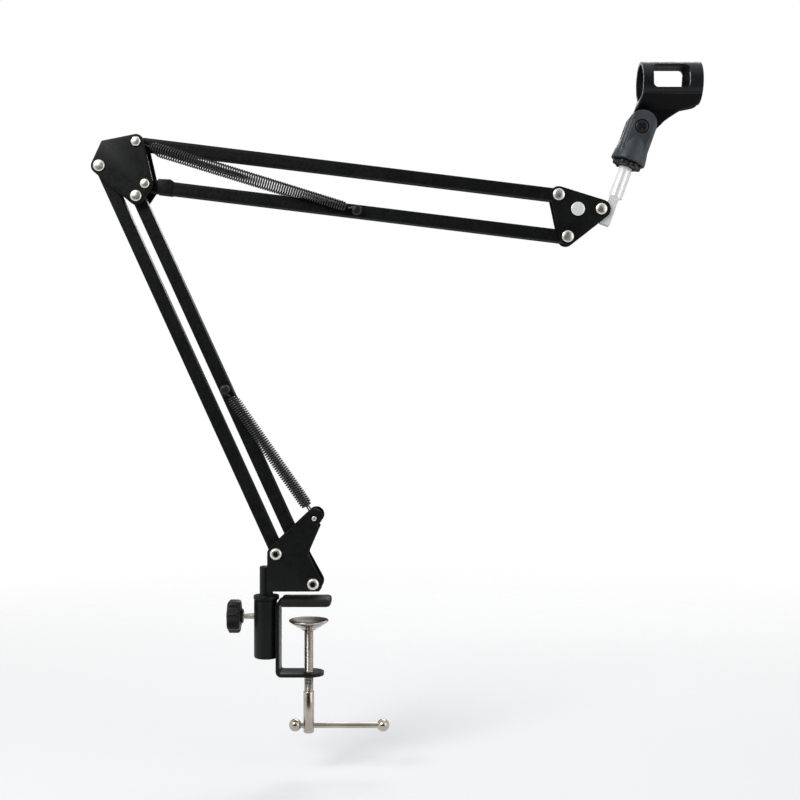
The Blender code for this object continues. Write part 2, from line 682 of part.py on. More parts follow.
def build_upper_arm():
    build_bar("upper_bar_a", "upper_bar_a", ELBOW_TOP, UPPER_DIR)
    build_bar("upper_bar_b", "upper_bar_b", ELBOW_RIGHT, UPPER_DIR, UPPER_SPRING_PIN)
    rivet("upper_spring_pin", "upper_bar_b", UPPER_SPRING_PIN, SPRING_PIN_R,
          SPRING_PIN_HEAD_R, SPRING_PIN_REACH, SPRING_PIN_HEAD_HEIGHT, "dark_pin")
    wedge = along(ELBOW_RIGHT, UPPER_DIR, [(0.0090, -0.0063), (0.0218, -0.0063),
                                           (0.0224, 0.0060), (0.0196, 0.0074),
                                           (0.0090, 0.0065)])
    stop = place("fold_stop", prism_mesh("fold_stop", wedge, -0.0066, 0.0066), "upper_bar_b",
                 "black_plastic")
    room = HALF_BAR + GAP
    bar_space = along(ELBOW_RIGHT, UPPER_DIR, [(0, -room), (0.04, -room), (0.04, room),
                                               (0, room)])
    boolean(stop, prism_mesh("bar_space", bar_space, -room, room))


# ---------------------------------------------------------------- elbow
def plate_pair(name, body, outline, pivots, inner_y):
    """Front and back plate of one outline, drilled at the pivots."""
    holes = [circle(pivot, PIN_HOLE_R, 12) for pivot in pivots]
    for side, end in ((FRONT, "_front"), (BACK, "_back")):
        low, high = sorted((side * inner_y, side * (inner_y + PLATE_THICK)))
        mesh = plate_mesh(name + end, outline, holes, low, high)
        place(name + end, mesh, body, "black_steel")


def build_elbow():
    outline = ears((ELBOW_LEFT, 0.0070), (ELBOW_BOTTOM, 0.0074), (ELBOW_RIGHT, 0.0068),
                   (ELBOW_TOP, 0.0064), (ELBOW_CORNER, 0.0020))
    pivots = (ELBOW_LEFT, ELBOW_BOTTOM, ELBOW_RIGHT, ELBOW_TOP)
    plate_pair("elbow_plate", "elbow", outline, pivots, PLATE_INNER_Y)
    reach = PLATE_OUTER_Y + GAP
    for name, pivot, head_r in (("left", ELBOW_LEFT, 0.0049), ("bottom", ELBOW_BOTTOM, 0.0048),
                                ("right", ELBOW_RIGHT, 0.00405)):
        rivet("elbow_rivet_" + name, "elbow", pivot, PIN_R, head_r, reach, RIVET_HEIGHT,
              "bright_steel")
        bushes("elbow_bush_" + name, "elbow", pivot)
    rivet("elbow_pin_top", "elbow", ELBOW_TOP, PIN_R, 0.0043, reach, 0.0022, "bright_steel")


# ---------------------------------------------------------------- head
def build_head():
    outline = ears((HEAD_TOP, 0.0072), (HEAD_BOTTOM, 0.0072), (TIP, 0.0081))
    pivots = (HEAD_TOP, HEAD_BOTTOM, HEAD_SPACER, TIP)
    plate_pair("head_plate", "head", outline, pivots, HEAD_INNER_Y)
    reach = HEAD_INNER_Y + PLATE_THICK + GAP
    for name, pivot in (("top", HEAD_TOP), ("bottom", HEAD_BOTTOM)):
        rivet("head_rivet_" + name, "head", pivot, PIN_R, 0.0051, reach, RIVET_HEIGHT,
              "bright_steel")
    rivet("head_spacer", "head", HEAD_SPACER, PIN_R, 0.0058, reach, 0.0009, "bright_steel")
    head = dome_head(0.0049, 0.0022, reach)
    end = reach + 0.0058
    profile = [(r, -h) for r, h in reversed(head)]
    profile += [(PIN_R, -reach), (PIN_R, end - 0.0006), (PIN_R - 0.0006, end), (0, end)]
    mesh = turned_mesh("head_pivot_bolt", profile, 14)
    place("head_pivot_bolt", mesh, "head", "bright_steel", at=TIP, turn=ALONG_Y)
    nut("head_pivot_nut", "head", TIP, NUT_FLATS, reach, reach + 0.0045, PIN_HOLE_R,
        "bright_steel")


def build_stud():
    """Round stem with a flat lug for the tilt bolt and a threaded upper end."""
    lug = [(0.0116, -0.0105), (0.0116, 0.0125), (0.0137, 0.0152), (0.0027, 0.0152),
           (0.0027, 0.0090)]
    lug += arc((0, 0), 0.0078, 75, 270, 12)
    lug += [(0.0045, -0.0105)]
    lug_xz = [step(step(TIP, STEM_SIDE, w), STEM_DIR, u) for w, u in lug]
    half = HEAD_INNER_Y - 0.0004
    stud = place("swivel_stud", prism_mesh("swivel_stud", lug_xz, -half, half), "swivel_stud",
                 "chrome")
    shoulder = RING_FROM_TIP - GAP
    top = CLIP_PIVOT_FROM_TIP - 0.0190
    stem = [(0, 0.0145), (STEM_R, 0.0145), (STEM_R, shoulder - 0.0006),
            (STEM_R - 0.0006, shoulder), (THREAD_R, shoulder), (THREAD_R, top - 0.0008),
            (THREAD_R - 0.0008, top), (0, top)]
    boolean(stud, turned_mesh("stem", stem, 18), "UNION", at=STEM_FOOT, turn=ALONG_STEM)
    drill_y(stud, TIP, PIN_HOLE_R)


def build_lock_ring():
    low = lobed_circle(0.0104, 0.0010, 6, 36)
    full = lobed_circle(0.0112, 0.0012, 6, 36)
    rings = [(0, low), (0.0008, full), (RING_THICK - 0.0008, full), (RING_THICK, low)]
    ring = place("clip_lock_ring", stacked_mesh("clip_lock_ring", rings), "clip_lock_ring",
                 "charcoal_plastic", at=RING_BASE, turn=ALONG_STEM)
    boolean(ring, round_tool(THREAD_R + GAP, -0.005, 0.015), at=RING_BASE, turn=ALONG_STEM)


# ---------------------------------------------------------------- microphone clip
def stem_points(points):
    """Outline points given as (right, up) from the clip pivot, in the stem's directions."""
    return [step(step(CLIP_PIVOT, STEM_SIDE, w), STEM_DIR, u) for w, u in points]


def build_clip_base():
    foot_drop = CLIP_PIVOT_FROM_TIP - (RING_FROM_TIP + RING_THICK + GAP)
    body = arc((0, EAR_RISE), EAR_R, 0, 180, 16)
    body += [(-0.0126, -0.0240), (-0.0126, 0.0040 - foot_drop), (0.0126, 0.0040 - foot_drop),
             (0.0126, -0.0240)]
    mesh = prism_mesh("clip_base", stem_points(body), -CLIP_BASE_HALF_Y, CLIP_BASE_HALF_Y)
    base = place("clip_base", mesh, "clip_base", "charcoal_plastic")
    foot = [(0, 0), (0.0140, 0), (0.0148, 0.0008), (0.0148, 0.0040), (0.0122, 0.0085),
            (0, 0.0085)]
    boolean(base, turned_mesh("foot", foot, 24), "UNION", at=CLIP_FOOT, turn=ALONG_STEM)
    slot = stem_points(box_outline(-0.03, -0.0142, 0.03, 0.03))
    boolean(base, prism_mesh("slot", slot, -CLIP_SLOT_HALF, CLIP_SLOT_HALF))
    thread = round_tool(THREAD_R + GAP, -0.01, foot_drop - 0.0190 + 0.0020)
    boolean(base, thread, at=CLIP_FOOT, turn=ALONG_STEM)
    drill_y(base, CLIP_PIVOT, PIN_HOLE_R)
    recess = round_tool(0.0062, -0.02, -0.0085, 16)
    boolean(base, recess, at=CLIP_PIVOT, turn=ALONG_Y)
    nut_recess = hex_ring("nut_recess", 0.0106, 0.0070, 0.02)
    boolean(base, nut_recess, at=CLIP_PIVOT, turn=ALONG_Y)


def build_clip_pivot():
    seat = 0.0085 + GAP
    profile = [(0, -0.0106), (0.0040, -0.0106), (0.0056, -0.0098), (0.0056, -seat),
               (PIN_R, -seat), (PIN_R, 0.0104), (0, 0.0104)]
    screw = place("clip_pivot_screw", turned_mesh("clip_pivot_screw", profile, 14), "clip_base",
                  "dark_pin", at=CLIP_PIVOT, turn=ALONG_Y)
    for angle in (45, 135):
        blade = Matrix.Rotation(math.radians(angle), 4, "Y")
        slot = prism_mesh("cross", box_outline(-0.0034, -0.0006, 0.0034, 0.0006), -0.012, -0.0098)
        boolean(screw, slot, at=CLIP_PIVOT, turn=blade)
    nut("clip_pivot_nut", "clip_base", CLIP_PIVOT, NUT_FLATS, 0.0070 + GAP, 0.0106, PIN_HOLE_R,
        "bright_steel")


def build_clip_body():
    """Open tube with a side window on each side, on a keel that narrows to the pivot tongue."""
    centre = add(CLIP_PIVOT, (0, CLIP_TUBE_RISE))
    length = CLIP_TUBE_LENGTH
    tube = [(0, 0), (CLIP_TUBE_R - 0.0008, 0), (CLIP_TUBE_R, 0.0008),
            (CLIP_TUBE_R, length - 0.0008), (CLIP_TUBE_R - 0.0008, length), (0, length)]
    body = place("clip_body", turned_mesh("clip_body", tube, 30), "clip_body",
                 "charcoal_plastic", at=centre, turn=ALONG_X)
    keel = [(-0.0010, 0.0250), (-0.0054, 0.0140)]
    keel += arc((0, 0), 0.0115, 118, 344, 12)
    keel += [(0.0165, 0.0022), (0.0210, 0.0068), (0.0254, 0.0100), (0.0345, 0.0154),
             (0.0464, 0.0180), (0.0500, 0.0212), (0.0500, 0.0250)]
    keel_xz = [add(CLIP_PIVOT, p) for p in keel]
    half = CLIP_SLOT_HALF - GAP
    boolean(body, prism_mesh("keel", keel_xz, -half, half), "UNION")
    bore = round_tool(CLIP_BORE_R, -0.01, length + 0.01, 30)
    boolean(body, bore, at=centre, turn=ALONG_X)
    low_x, high_x = 0.0087, 0.0394
    low_z, high_z = -0.0068, 0.0135
    corner = 0.0028
    window = arc((high_x - corner, high_z - corner), corner, 0, 90, 3)
    window += arc((low_x + corner, high_z - corner), corner, 90, 180, 3)
    window += arc((low_x + corner, low_z + corner), corner, 180, 270, 3)
    window += arc((high_x - corner, low_z + corner), corner, 270, 360, 3)
    window_xz = [add(centre, p) for p in window]
    boolean(body, prism_mesh("window", window_xz, -0.03, 0.03))
    drill_y(body, CLIP_PIVOT, PIN_HOLE_R)


# ---------------------------------------------------------------- assembly
def clear_scene():
    for obj in list(bpy.data.objects):
        bpy.data.objects.remove(obj, do_unlink=True)


def make_bodies():
    make_body("clamp", None, 0, 0)
    make_body("thumb_stud", "clamp", KNOB_FACE_X, THUMB_Z)
    make_body("thumb_knob", "thumb_stud", KNOB_FACE_X, THUMB_Z)
    make_body("pressure_pad", "clamp", 0, PAD_RIM_Z)
    make_body("clamp_screw", "pressure_pad", 0, PAD_RIM_Z)
    make_body("tommy_bar", "clamp_screw", 0, TOMMY_Z)
    make_body("base", "clamp", POST_X, 0)
    make_body("lower_bar_a", "base", *PIVOT_A)
    make_body("lower_bar_b", "base", *PIVOT_B)
    make_body("elbow", "lower_bar_a", *ELBOW_LEFT)
    make_body("upper_bar_a", "elbow", *ELBOW_TOP)
    make_body("upper_bar_b", "elbow", *ELBOW_RIGHT)
    make_body("head", "upper_bar_a", *HEAD_TOP)
    make_body("swivel_stud", "head", *TIP)
    make_body("clip_lock_ring", "swivel_stud", *RING_BASE)
    make_body("clip_base", "swivel_stud", *CLIP_FOOT)
    make_body("clip_body", "clip_base", *CLIP_PIVOT)


def main():
    clear_scene()
    make_bodies()
    build_clamp_frame()
    build_jaw_pad()
    build_post_socket()
    build_thumb_screw()
    build_clamp_screw()
    build_base()
    build_lower_arm()
    build_elbow()
    build_upper_arm()
    build_springs()
    build_head()
    build_stud()
    build_lock_ring()
    build_clip_base()
    build_clip_pivot()
    build_clip_body()
    bpy.context.view_layer.update()


main()
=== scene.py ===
"""Finished surfaces, materials, studio and camera for the microphone suspension boom.

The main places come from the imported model: its joints, its record and the boxes of its nodes.
Smaller shapes are sized here.  Units are metres.  The arms move in the XZ plane, and the front
of the boom faces -Y.
"""

import json
import math

import bmesh
import bpy
import numpy as np
from mathutils import Matrix, Vector


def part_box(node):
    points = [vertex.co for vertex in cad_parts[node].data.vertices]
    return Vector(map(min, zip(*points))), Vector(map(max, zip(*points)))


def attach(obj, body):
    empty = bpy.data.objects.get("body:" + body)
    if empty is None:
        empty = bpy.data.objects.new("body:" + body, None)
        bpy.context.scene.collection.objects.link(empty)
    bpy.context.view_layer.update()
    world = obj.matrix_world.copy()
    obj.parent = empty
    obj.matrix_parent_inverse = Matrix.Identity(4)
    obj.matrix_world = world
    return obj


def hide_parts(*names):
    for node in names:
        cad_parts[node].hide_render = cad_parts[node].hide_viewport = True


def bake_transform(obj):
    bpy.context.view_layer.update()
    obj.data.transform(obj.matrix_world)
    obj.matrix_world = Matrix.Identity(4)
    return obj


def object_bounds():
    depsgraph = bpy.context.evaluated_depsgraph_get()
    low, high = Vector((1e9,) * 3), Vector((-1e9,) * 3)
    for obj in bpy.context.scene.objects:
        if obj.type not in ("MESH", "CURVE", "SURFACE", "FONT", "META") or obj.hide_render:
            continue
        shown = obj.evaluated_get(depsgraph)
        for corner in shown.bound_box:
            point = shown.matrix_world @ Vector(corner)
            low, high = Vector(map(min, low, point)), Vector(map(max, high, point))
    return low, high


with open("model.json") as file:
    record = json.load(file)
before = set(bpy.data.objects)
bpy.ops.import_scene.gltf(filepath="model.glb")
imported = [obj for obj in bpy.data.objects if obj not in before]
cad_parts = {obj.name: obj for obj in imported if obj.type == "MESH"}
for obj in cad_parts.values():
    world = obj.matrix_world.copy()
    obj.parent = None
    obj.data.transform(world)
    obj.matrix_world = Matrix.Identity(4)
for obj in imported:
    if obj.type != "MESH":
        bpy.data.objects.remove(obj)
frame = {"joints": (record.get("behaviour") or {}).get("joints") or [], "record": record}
CAD_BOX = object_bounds()
JOINTS = {joint["name"]: joint for joint in frame["joints"]}
BODY_OF = {node: body for body, nodes in frame["record"]["behaviour"]["bodies"].items() for node in nodes}
SLOT_OF = {part["node"]: part["material_slot"] for part in frame["record"]["subparts"]}


# -------------------- places, as (x, z) pairs
def joint_at(name):
    x, _, z = JOINTS[name]["pos_m"]
    return (x, z)


def middle(node):
    low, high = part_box(node)
    return (low + high) / 2


def spot(node):
    centre = middle(node)
    return (centre.x, centre.z)


def size(node):
    low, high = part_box(node)
    return high - low


def plus(p, q):
    return (p[0] + q[0], p[1] + q[1])


def minus(p, q):
    return (p[0] - q[0], p[1] - q[1])


def step(start, forward, distance):
    return (start[0] + forward[0] * distance, start[1] + forward[1] * distance)


def heading(start, end):
    reach = math.dist(start, end)
    return ((end[0] - start[0]) / reach, (end[1] - start[1]) / reach)


PIVOT_A = joint_at("lower_arm_swing")
PIVOT_B = joint_at("lower_bar_b_swing")
ELBOW_LEFT = joint_at("elbow_level")
ELBOW_TOP = joint_at("upper_arm_swing")
ELBOW_RIGHT = joint_at("upper_bar_b_swing")
HEAD_TOP = joint_at("head_level")
TIP = joint_at("head_tilt")
RING_BASE = joint_at("lock_ring_turn")
CLIP_FOOT = joint_at("clip_turn")
CLIP_PIVOT = joint_at("clip_tilt")
POST_X = joint_at("base_swivel")[0]
ELBOW_BOTTOM = plus(PIVOT_B, minus(ELBOW_LEFT, PIVOT_A))
HEAD_BOTTOM = plus(ELBOW_RIGHT, minus(HEAD_TOP, ELBOW_TOP))
STEM_DIR = (JOINTS["clip_turn"]["axis"][0], JOINTS["clip_turn"]["axis"][2])
STEM_SIDE = (STEM_DIR[1], -STEM_DIR[0])
STEM_TILT = math.atan2(STEM_DIR[0], STEM_DIR[1])
HEAD_SPACER = spot("head_spacer")
ANCHOR = spot("spring_anchor_front")
LOWER_PIN = spot("lower_spring_pin")
UPPER_PIN = spot("upper_spring_pin")

# -------------------- sizes
GAP = 0.0003  # clearance between moving pieces
PIN_R = 0.0029
HOLE_R = PIN_R + GAP
SPRING_PIN_R = 0.0024
HALF_BAR = size("lower_bar_a").y / 2
BAR_WALL = 0.0012
BAR_CORNER = 0.0011
PLATE_THICK = 0.0020
PLATE_EDGE = 0.00035
COIL_R = 0.0037
WIRE_R = 0.00066
COIL_PITCH = 0.0021
COIL_Y = 0.0103
HOOK_Y = 0.0086
HOOK_FROM = 40  # degrees from the spring's direction
HOOK_TO = 325
HOOK_NECK = 0.0022
END_TAPER = 0.62  # size of the first and last coil
TAPER_RATE = 0.25
FRONT = -1
BACK = 1
BEYOND = 0.02  # how far a cutting shape reaches past what it cuts


# -------------------- outlines
def polar(centre, radius, degrees):
    angle = math.radians(degrees)
    return (centre[0] + radius * math.cos(angle), centre[1] + radius * math.sin(angle))


def arc(centre, radius, start, end, steps):
    return [polar(centre, radius, start + (end - start) * i / steps) for i in range(steps + 1)]


def circle(centre, radius, steps):
    return arc(centre, radius, 0, 360, steps)[:-1]


def rectangle(left, bottom, right, top):
    return [(left, bottom), (right, bottom), (right, top), (left, top)]


def rounded_rectangle(left, bottom, right, top, corner, steps):
    """Anticlockwise outline with round corners, from the lower end of the upper right one."""
    left, bottom, right, top = left + corner, bottom + corner, right - corner, top - corner
    out = []
    for i, centre in enumerate([(right, top), (left, top), (left, bottom), (right, bottom)]):
        out += arc(centre, corner, 90 * i, 90 * (i + 1), steps)
    return out


def shoulder(inner, outer, low, high, steps):
    """Quarter of an ellipse, after its start at (inner, low), out to (outer, high)."""
    angles = [math.pi / 2 * i / steps for i in range(1, steps + 1)]
    return [(inner + (outer - inner) * math.sin(a), high - (high - low) * math.cos(a))
            for a in angles]


def turn_of(a, b, c):
    return (b[0] - a[0]) * (c[1] - a[1]) - (b[1] - a[1]) * (c[0] - a[0])


def hull(points):
    """Convex outline round the points, anticlockwise."""
    ordered = sorted(set(points))

    def half(run):
        out = []
        for p in run:
            while len(out) > 1 and turn_of(out[-2], out[-1], p) <= 1e-12:
                out.pop()
            out.append(p)
        return out[:-1]

    return half(ordered) + half(ordered[::-1])


def ears(*discs):
    """Outline stretched round several (centre, radius) discs."""
    points = []
    for centre, radius in discs:
        points += circle(centre, radius, 96)
    return hull(points)


def inset(outline, distance):
    """Anticlockwise outline moved inwards by a distance."""
    out = []
    for i, p in enumerate(outline):
        before = heading(outline[i - 1], p)
        after = heading(p, outline[(i + 1) % len(outline)])
        inward = (-before[1] - after[1], before[0] + after[0])
        scale = distance / max(1 + before[0] * after[0] + before[1] * after[1], 0.3)
        out.append((p[0] + inward[0] * scale, p[1] + inward[1] * scale))
    return out


def anticlockwise(outline):
    area = sum(turn_of((0, 0), outline[i - 1], outline[i]) for i in range(len(outline)))
    return outline if area > 0 else outline[::-1]


def along(start, forward, points):
    """Outline points given as (distance along, distance above) a direction."""
    up = (-forward[1], forward[0])
    return [step(step(start, forward, s), up, n) for s, n in points]


def stem_points(points):
    """Outline points given as (right, up) from the clip pivot, in the stem's directions."""
    return [step(step(CLIP_PIVOT, STEM_SIDE, w), STEM_DIR, u) for w, u in points]


# -------------------- mesh builders
def across(at):
    return Matrix.Translation((at[0], 0, at[1])) @ Matrix.Rotation(math.radians(-90), 4, "X")


def upright(at):
    return Matrix.Translation((at[0], 0, at[1]))


def sideways(at):
    return Matrix.Translation((at[0], 0, at[1])) @ Matrix.Rotation(math.radians(90), 4, "Y")


def on_stem(at):
    return Matrix.Translation((at[0], 0, at[1])) @ Matrix.Rotation(STEM_TILT, 4, "Y")


def placed(name, data):
    """New object with its data, linked into the scene."""
    obj = bpy.data.objects.new(name, data)
    bpy.context.scene.collection.objects.link(obj)
    return obj


def to_mesh(bm, matrix=None):
    bmesh.ops.recalc_face_normals(bm, faces=bm.faces)
    mesh = bpy.data.meshes.new("shape")
    bm.to_mesh(mesh)
    bm.free()
    if matrix is not None:
        mesh.transform(matrix)
    return mesh


def bridge(bm, low, high):
    """Join two rings of equal length; a ring of one point is a pole."""
    count = max(len(low), len(high))
    if count == 1:
        return
    for i in range(count):
        j = (i + 1) % count
        if len(low) == 1:
            bm.faces.new((low[0], high[j], high[i]))
        elif len(high) == 1:
            bm.faces.new((low[i], low[j], high[0]))
        else:
            bm.faces.new((low[i], low[j], high[j], high[i]))


def stacked(rings):
    """Closed solid through rings of points, each ring a list of 3-D points."""
    bm = bmesh.new()
    made = [[bm.verts.new(p) for p in ring] for ring in rings]
    for low, high in zip(made, made[1:]):
        bridge(bm, low, high)
    for ring in (made[0][::-1], made[-1]):
        if len(ring) > 2:
            bm.faces.new(ring)
    return to_mesh(bm)


def prism(outline, low, high, edge=0.0, segments=4):
    """An (x, z) outline extruded along Y, its rims rounded by edge."""
    outline = anticlockwise(outline)
    levels = []
    for i in range(segments + 1 if edge else 1):
        angle = math.pi / 2 * i / segments
        levels.append((edge * (1 - math.sin(angle)), edge * (1 - math.cos(angle))))
    rings = [(low + rise, depth) for depth, rise in levels]
    rings += [(high - rise, depth) for depth, rise in reversed(levels)]
    return stacked([[(x, y, z) for x, z in inset(outline, depth)] for y, depth in rings])


def turned(profile, matrix, steps=48, lobes=0, depth=0.0, closed=False):
    """A profile of (radius, height) turned about local Z; lobes swell its widest rings."""
    bm = bmesh.new()
    widest = max(r for r, _ in profile)
    rings = []
    for r, h in profile:
        if r < 1e-7:
            rings.append([bm.verts.new((0, 0, h))])
            continue
        ring = []
        for i in range(steps):
            angle = 2 * math.pi * i / steps
            reach = r + depth * (r / widest) ** 4 * math.cos(lobes * angle)
            ring.append(bm.verts.new((reach * math.cos(angle), reach * math.sin(angle), h)))
        rings.append(ring)
    pairs = list(zip(rings, rings[1:]))
    if closed:
        pairs.append((rings[-1], rings[0]))
    for low, high in pairs:
        bridge(bm, low, high)
    return to_mesh(bm, matrix)


def rod(radius, low, high, matrix, steps=50):
    """Round rod, turned a little for combine()."""
    twist = Matrix.Rotation(0.031, 4, "Z")
    return turned([(0, low), (radius, low), (radius, high), (0, high)], matrix @ twist, steps)


def threaded(radius, depth, pitch, low, high, matrix, steps=40, rows=8):
    """Rod with a helical V thread that runs out at both ends."""
    rings = [[(0, 0, low)]]
    count = round((high - low) / pitch * rows)
    for k in range(count + 1):
        h = low + (high - low) * k / count
        runout = min(1.0, (h - low) / pitch, (high - h) / pitch)
        ring = []
        for i in range(steps):
            turn = (h / pitch - i / steps) % 1.0
            r = radius - depth * (1 - abs(2 * turn - 1) * runout)
            angle = 2 * math.pi * i / steps
            ring.append((r * math.cos(angle), r * math.sin(angle), h))
        rings.append(ring)
    rings.append([(0, 0, high)])
    mesh = stacked(rings)
    mesh.transform(matrix @ Matrix.Rotation(0.017, 4, "Z"))
    return mesh


def combine(mesh, tool, operation="DIFFERENCE"):
    """Mesh with a tool mesh cut out of it, joined on, or kept only where both overlap.

    Round shapes to be combined are made with small, unequal turns, so that no edges coincide.
    """
    base = placed("base_shape", mesh)
    cutter = placed("tool_shape", tool)
    modifier = base.modifiers.new("cut", "BOOLEAN")
    modifier.object = cutter
    modifier.operation = operation
    modifier.solver = "EXACT"
    graph = bpy.context.evaluated_depsgraph_get()
    result = bpy.data.meshes.new_from_object(base.evaluated_get(graph))
    bpy.data.objects.remove(base)
    bpy.data.objects.remove(cutter)
    return result


def moulded(mesh, voxel, rounds):
    """Remesh evenly and relax, so that edges are rounded as on a moulding."""
    obj = placed("moulding", mesh)
    remesh = obj.modifiers.new("even", "REMESH")
    remesh.mode = "VOXEL"
    remesh.voxel_size = voxel
    relax = obj.modifiers.new("relax", "SMOOTH")
    relax.factor = 0.5
    relax.iterations = rounds
    graph = bpy.context.evaluated_depsgraph_get()
    result = bpy.data.meshes.new_from_object(obj.evaluated_get(graph))
    bpy.data.objects.remove(obj)
    return result


# -------------------- materials
DRIFT_SCALE = 60.0
PATCH_SCALE = 350.0
ROUGH_LOW = 0.82
ROUGH_HIGH = 1.18
GRAIN_STRENGTH = 0.6


def add(tree, kind, values=None, **settings):
    """New shader node with its settings and some of its inputs' values."""
    node = tree.nodes.new("ShaderNode" + kind)
    for key, value in settings.items():
        setattr(node, key, value)
    for key, value in (values or {}).items():
        node.inputs[key].default_value = value
    return node


def noise(tree, vector, scale, detail=4.0):
    node = add(tree, "TexNoise", {"Scale": scale, "Detail": detail})
    tree.links.new(vector, node.inputs["Vector"])
    return node.outputs["Fac"]


def ramp(tree, fac, low, high, start=0.35, end=0.65):
    node = add(tree, "ValToRGB")
    node.color_ramp.elements[0].position = start
    node.color_ramp.elements[1].position = end
    node.color_ramp.elements[0].color = (*low, 1)
    node.color_ramp.elements[1].color = (*high, 1)
    tree.links.new(fac, node.inputs["Fac"])
    return node.outputs["Color"]


def bump(tree, fac, distance, strength):
    node = add(tree, "Bump", {"Distance": distance, "Strength": strength})
    tree.links.new(fac, node.inputs["Height"])
    return node.outputs["Normal"]


def edge_mask(tree, reach):
    """White along sharp edges, from how far a rounded normal leans away from the true one."""
    rounded = add(tree, "Bevel", {"Radius": reach}, samples=6)
    geometry = add(tree, "NewGeometry")
    lean = add(tree, "VectorMath", operation="DOT_PRODUCT")
    tree.links.new(rounded.outputs["Normal"], lean.inputs[0])
    tree.links.new(geometry.outputs["Normal"], lean.inputs[1])
    return ramp(tree, lean.outputs["Value"], (1, 1, 1), (0, 0, 0), 0.80, 0.985)


def surface(name, color, metallic, rough, grain, grain_depth, tone=0.25, specular=0.5,
            edge_wear_and_highlight=None, reach=0.0005):
    """Base colour that drifts slowly, roughness that varies, a fine grain, and lighter sharp edges:
    partly wear, partly painted edge highlight.
    """
    material = bpy.data.materials.new(name)
    material.use_nodes = True
    tree = material.node_tree
    link = tree.links.new
    coord = add(tree, "TexCoord").outputs["Object"]
    shader = tree.nodes["Principled BSDF"]
    low = tuple(c * (1 - tone) for c in color)
    high = tuple(min(c * (1 + tone), 1.0) for c in color)
    shade = ramp(tree, noise(tree, coord, DRIFT_SCALE), low, high)
    # Sharp edges take a lighter colour: partly edge wear, partly a painted edge highlight.
    if edge_wear_and_highlight:
        mix = add(tree, "Mix", data_type="RGBA")
        link(edge_mask(tree, reach), mix.inputs["Factor"])
        link(shade, mix.inputs["A"])
        mix.inputs["B"].default_value = (*edge_wear_and_highlight, 1)
        shade = mix.outputs["Result"]
    link(shade, shader.inputs["Base Color"])
    shader.inputs["Metallic"].default_value = metallic
    shader.inputs["Specular IOR Level"].default_value = specular
    patches = noise(tree, coord, PATCH_SCALE, 6.0)
    link(ramp(tree, patches, (rough * ROUGH_LOW,) * 3, (rough * ROUGH_HIGH,) * 3),
         shader.inputs["Roughness"])
    link(bump(tree, noise(tree, coord, grain, 3.0), grain_depth, GRAIN_STRENGTH),
         shader.inputs["Normal"])
    return material


# The edge colours given below lighten sharp edges: partly wear, partly painted edge highlight.
MATERIALS = {
    "black_steel": surface("satin_black_paint", (0.0048, 0.0052, 0.0052), 0.0, 0.36, 2600.0,
                           0.00003, specular=0.18, edge_wear_and_highlight=(0.014, 0.014, 0.0135)),
    "black_spring": surface("blackened_spring_wire", (0.010, 0.010, 0.010), 0.0, 0.30, 3200.0,
                            0.00001, specular=0.50),
    "dark_pin": surface("blackened_steel", (0.016, 0.016, 0.017), 0.5, 0.38, 2400.0, 0.00002),
    "bright_steel": surface("zinc_plated_steel", (0.74, 0.72, 0.67), 1.0, 0.33, 1500.0,
                            0.00002, tone=0.10),
    "nickel": surface("nickel_plate", (0.44, 0.40, 0.355), 1.0, 0.17, 900.0, 0.000006, tone=0.12),
    # Chrome with a white diffuse base: partly chrome, partly a painted reflection of the white
    # surroundings.
    "chrome": surface("polished_chrome", (0.88, 0.87, 0.86), 0.25, 0.22, 200.0, 0.000002,
                      tone=0.03, specular=0.8),
    "rubber": surface("ribbed_rubber", (0.0085, 0.0085, 0.0070), 0.0, 0.62, 1800.0, 0.00006,
                      specular=0.25, edge_wear_and_highlight=(0.020, 0.020, 0.017)),
    "black_plastic": surface("black_moulded_plastic", (0.0045, 0.0045, 0.0050), 0.0, 0.36,
                             2000.0, 0.00003, specular=0.22, edge_wear_and_highlight=(0.014, 0.014, 0.015)),
    "charcoal_plastic": surface("charcoal_moulded_plastic", (0.0048, 0.0058, 0.0076), 0.0,
                                0.34, 1600.0, 0.00004, specular=0.30,
                                edge_wear_and_highlight=(0.060, 0.062, 0.064), reach=0.0006),
    # Painted shade: a darker copy of the clip's plastic for its downward-facing belly.
    "saddle_plastic": surface("dark_moulded_plastic", (0.0016, 0.0017, 0.0024), 0.0, 0.42, 1600.0,
                              0.00004, specular=0.10, edge_wear_and_highlight=(0.004, 0.004, 0.005)),
    # Lighter plastic: the clip base's own colour, and a painted highlight where it is put on the tube's
    # left rim.
    "grey_plastic": surface("lighter_moulded_plastic", (0.034, 0.041, 0.047), 0.0, 0.42, 1600.0,
                            0.00004, specular=0.35, edge_wear_and_highlight=(0.080, 0.088, 0.094), reach=0.0007),
    # Painted shade for the inside of the bolts' hex sockets.
    "recess": surface("dark_recess", (0.010, 0.009, 0.008), 0.0, 0.60, 2000.0, 0.00002,
                      specular=0.2),
    # Darker, browner nickel, put on the upward faces inside the pressure pad's bowl.
    "stained_nickel": surface("stained_nickel", (0.030, 0.021, 0.014), 0.3, 0.34, 900.0,
                              0.00002, tone=0.4, specular=0.3),
}


# -------------------- pieces
FLAT_CORNERS = 9
FLAT_AREA = 3e-5


def paint(obj, name, test):
    """Give the faces whose centre and normal pass a test another material."""
    obj.data.materials.append(MATERIALS[name])
    for face in obj.data.polygons:
        if test(face.center, face.normal):
            face.material_index = len(obj.data.materials) - 1


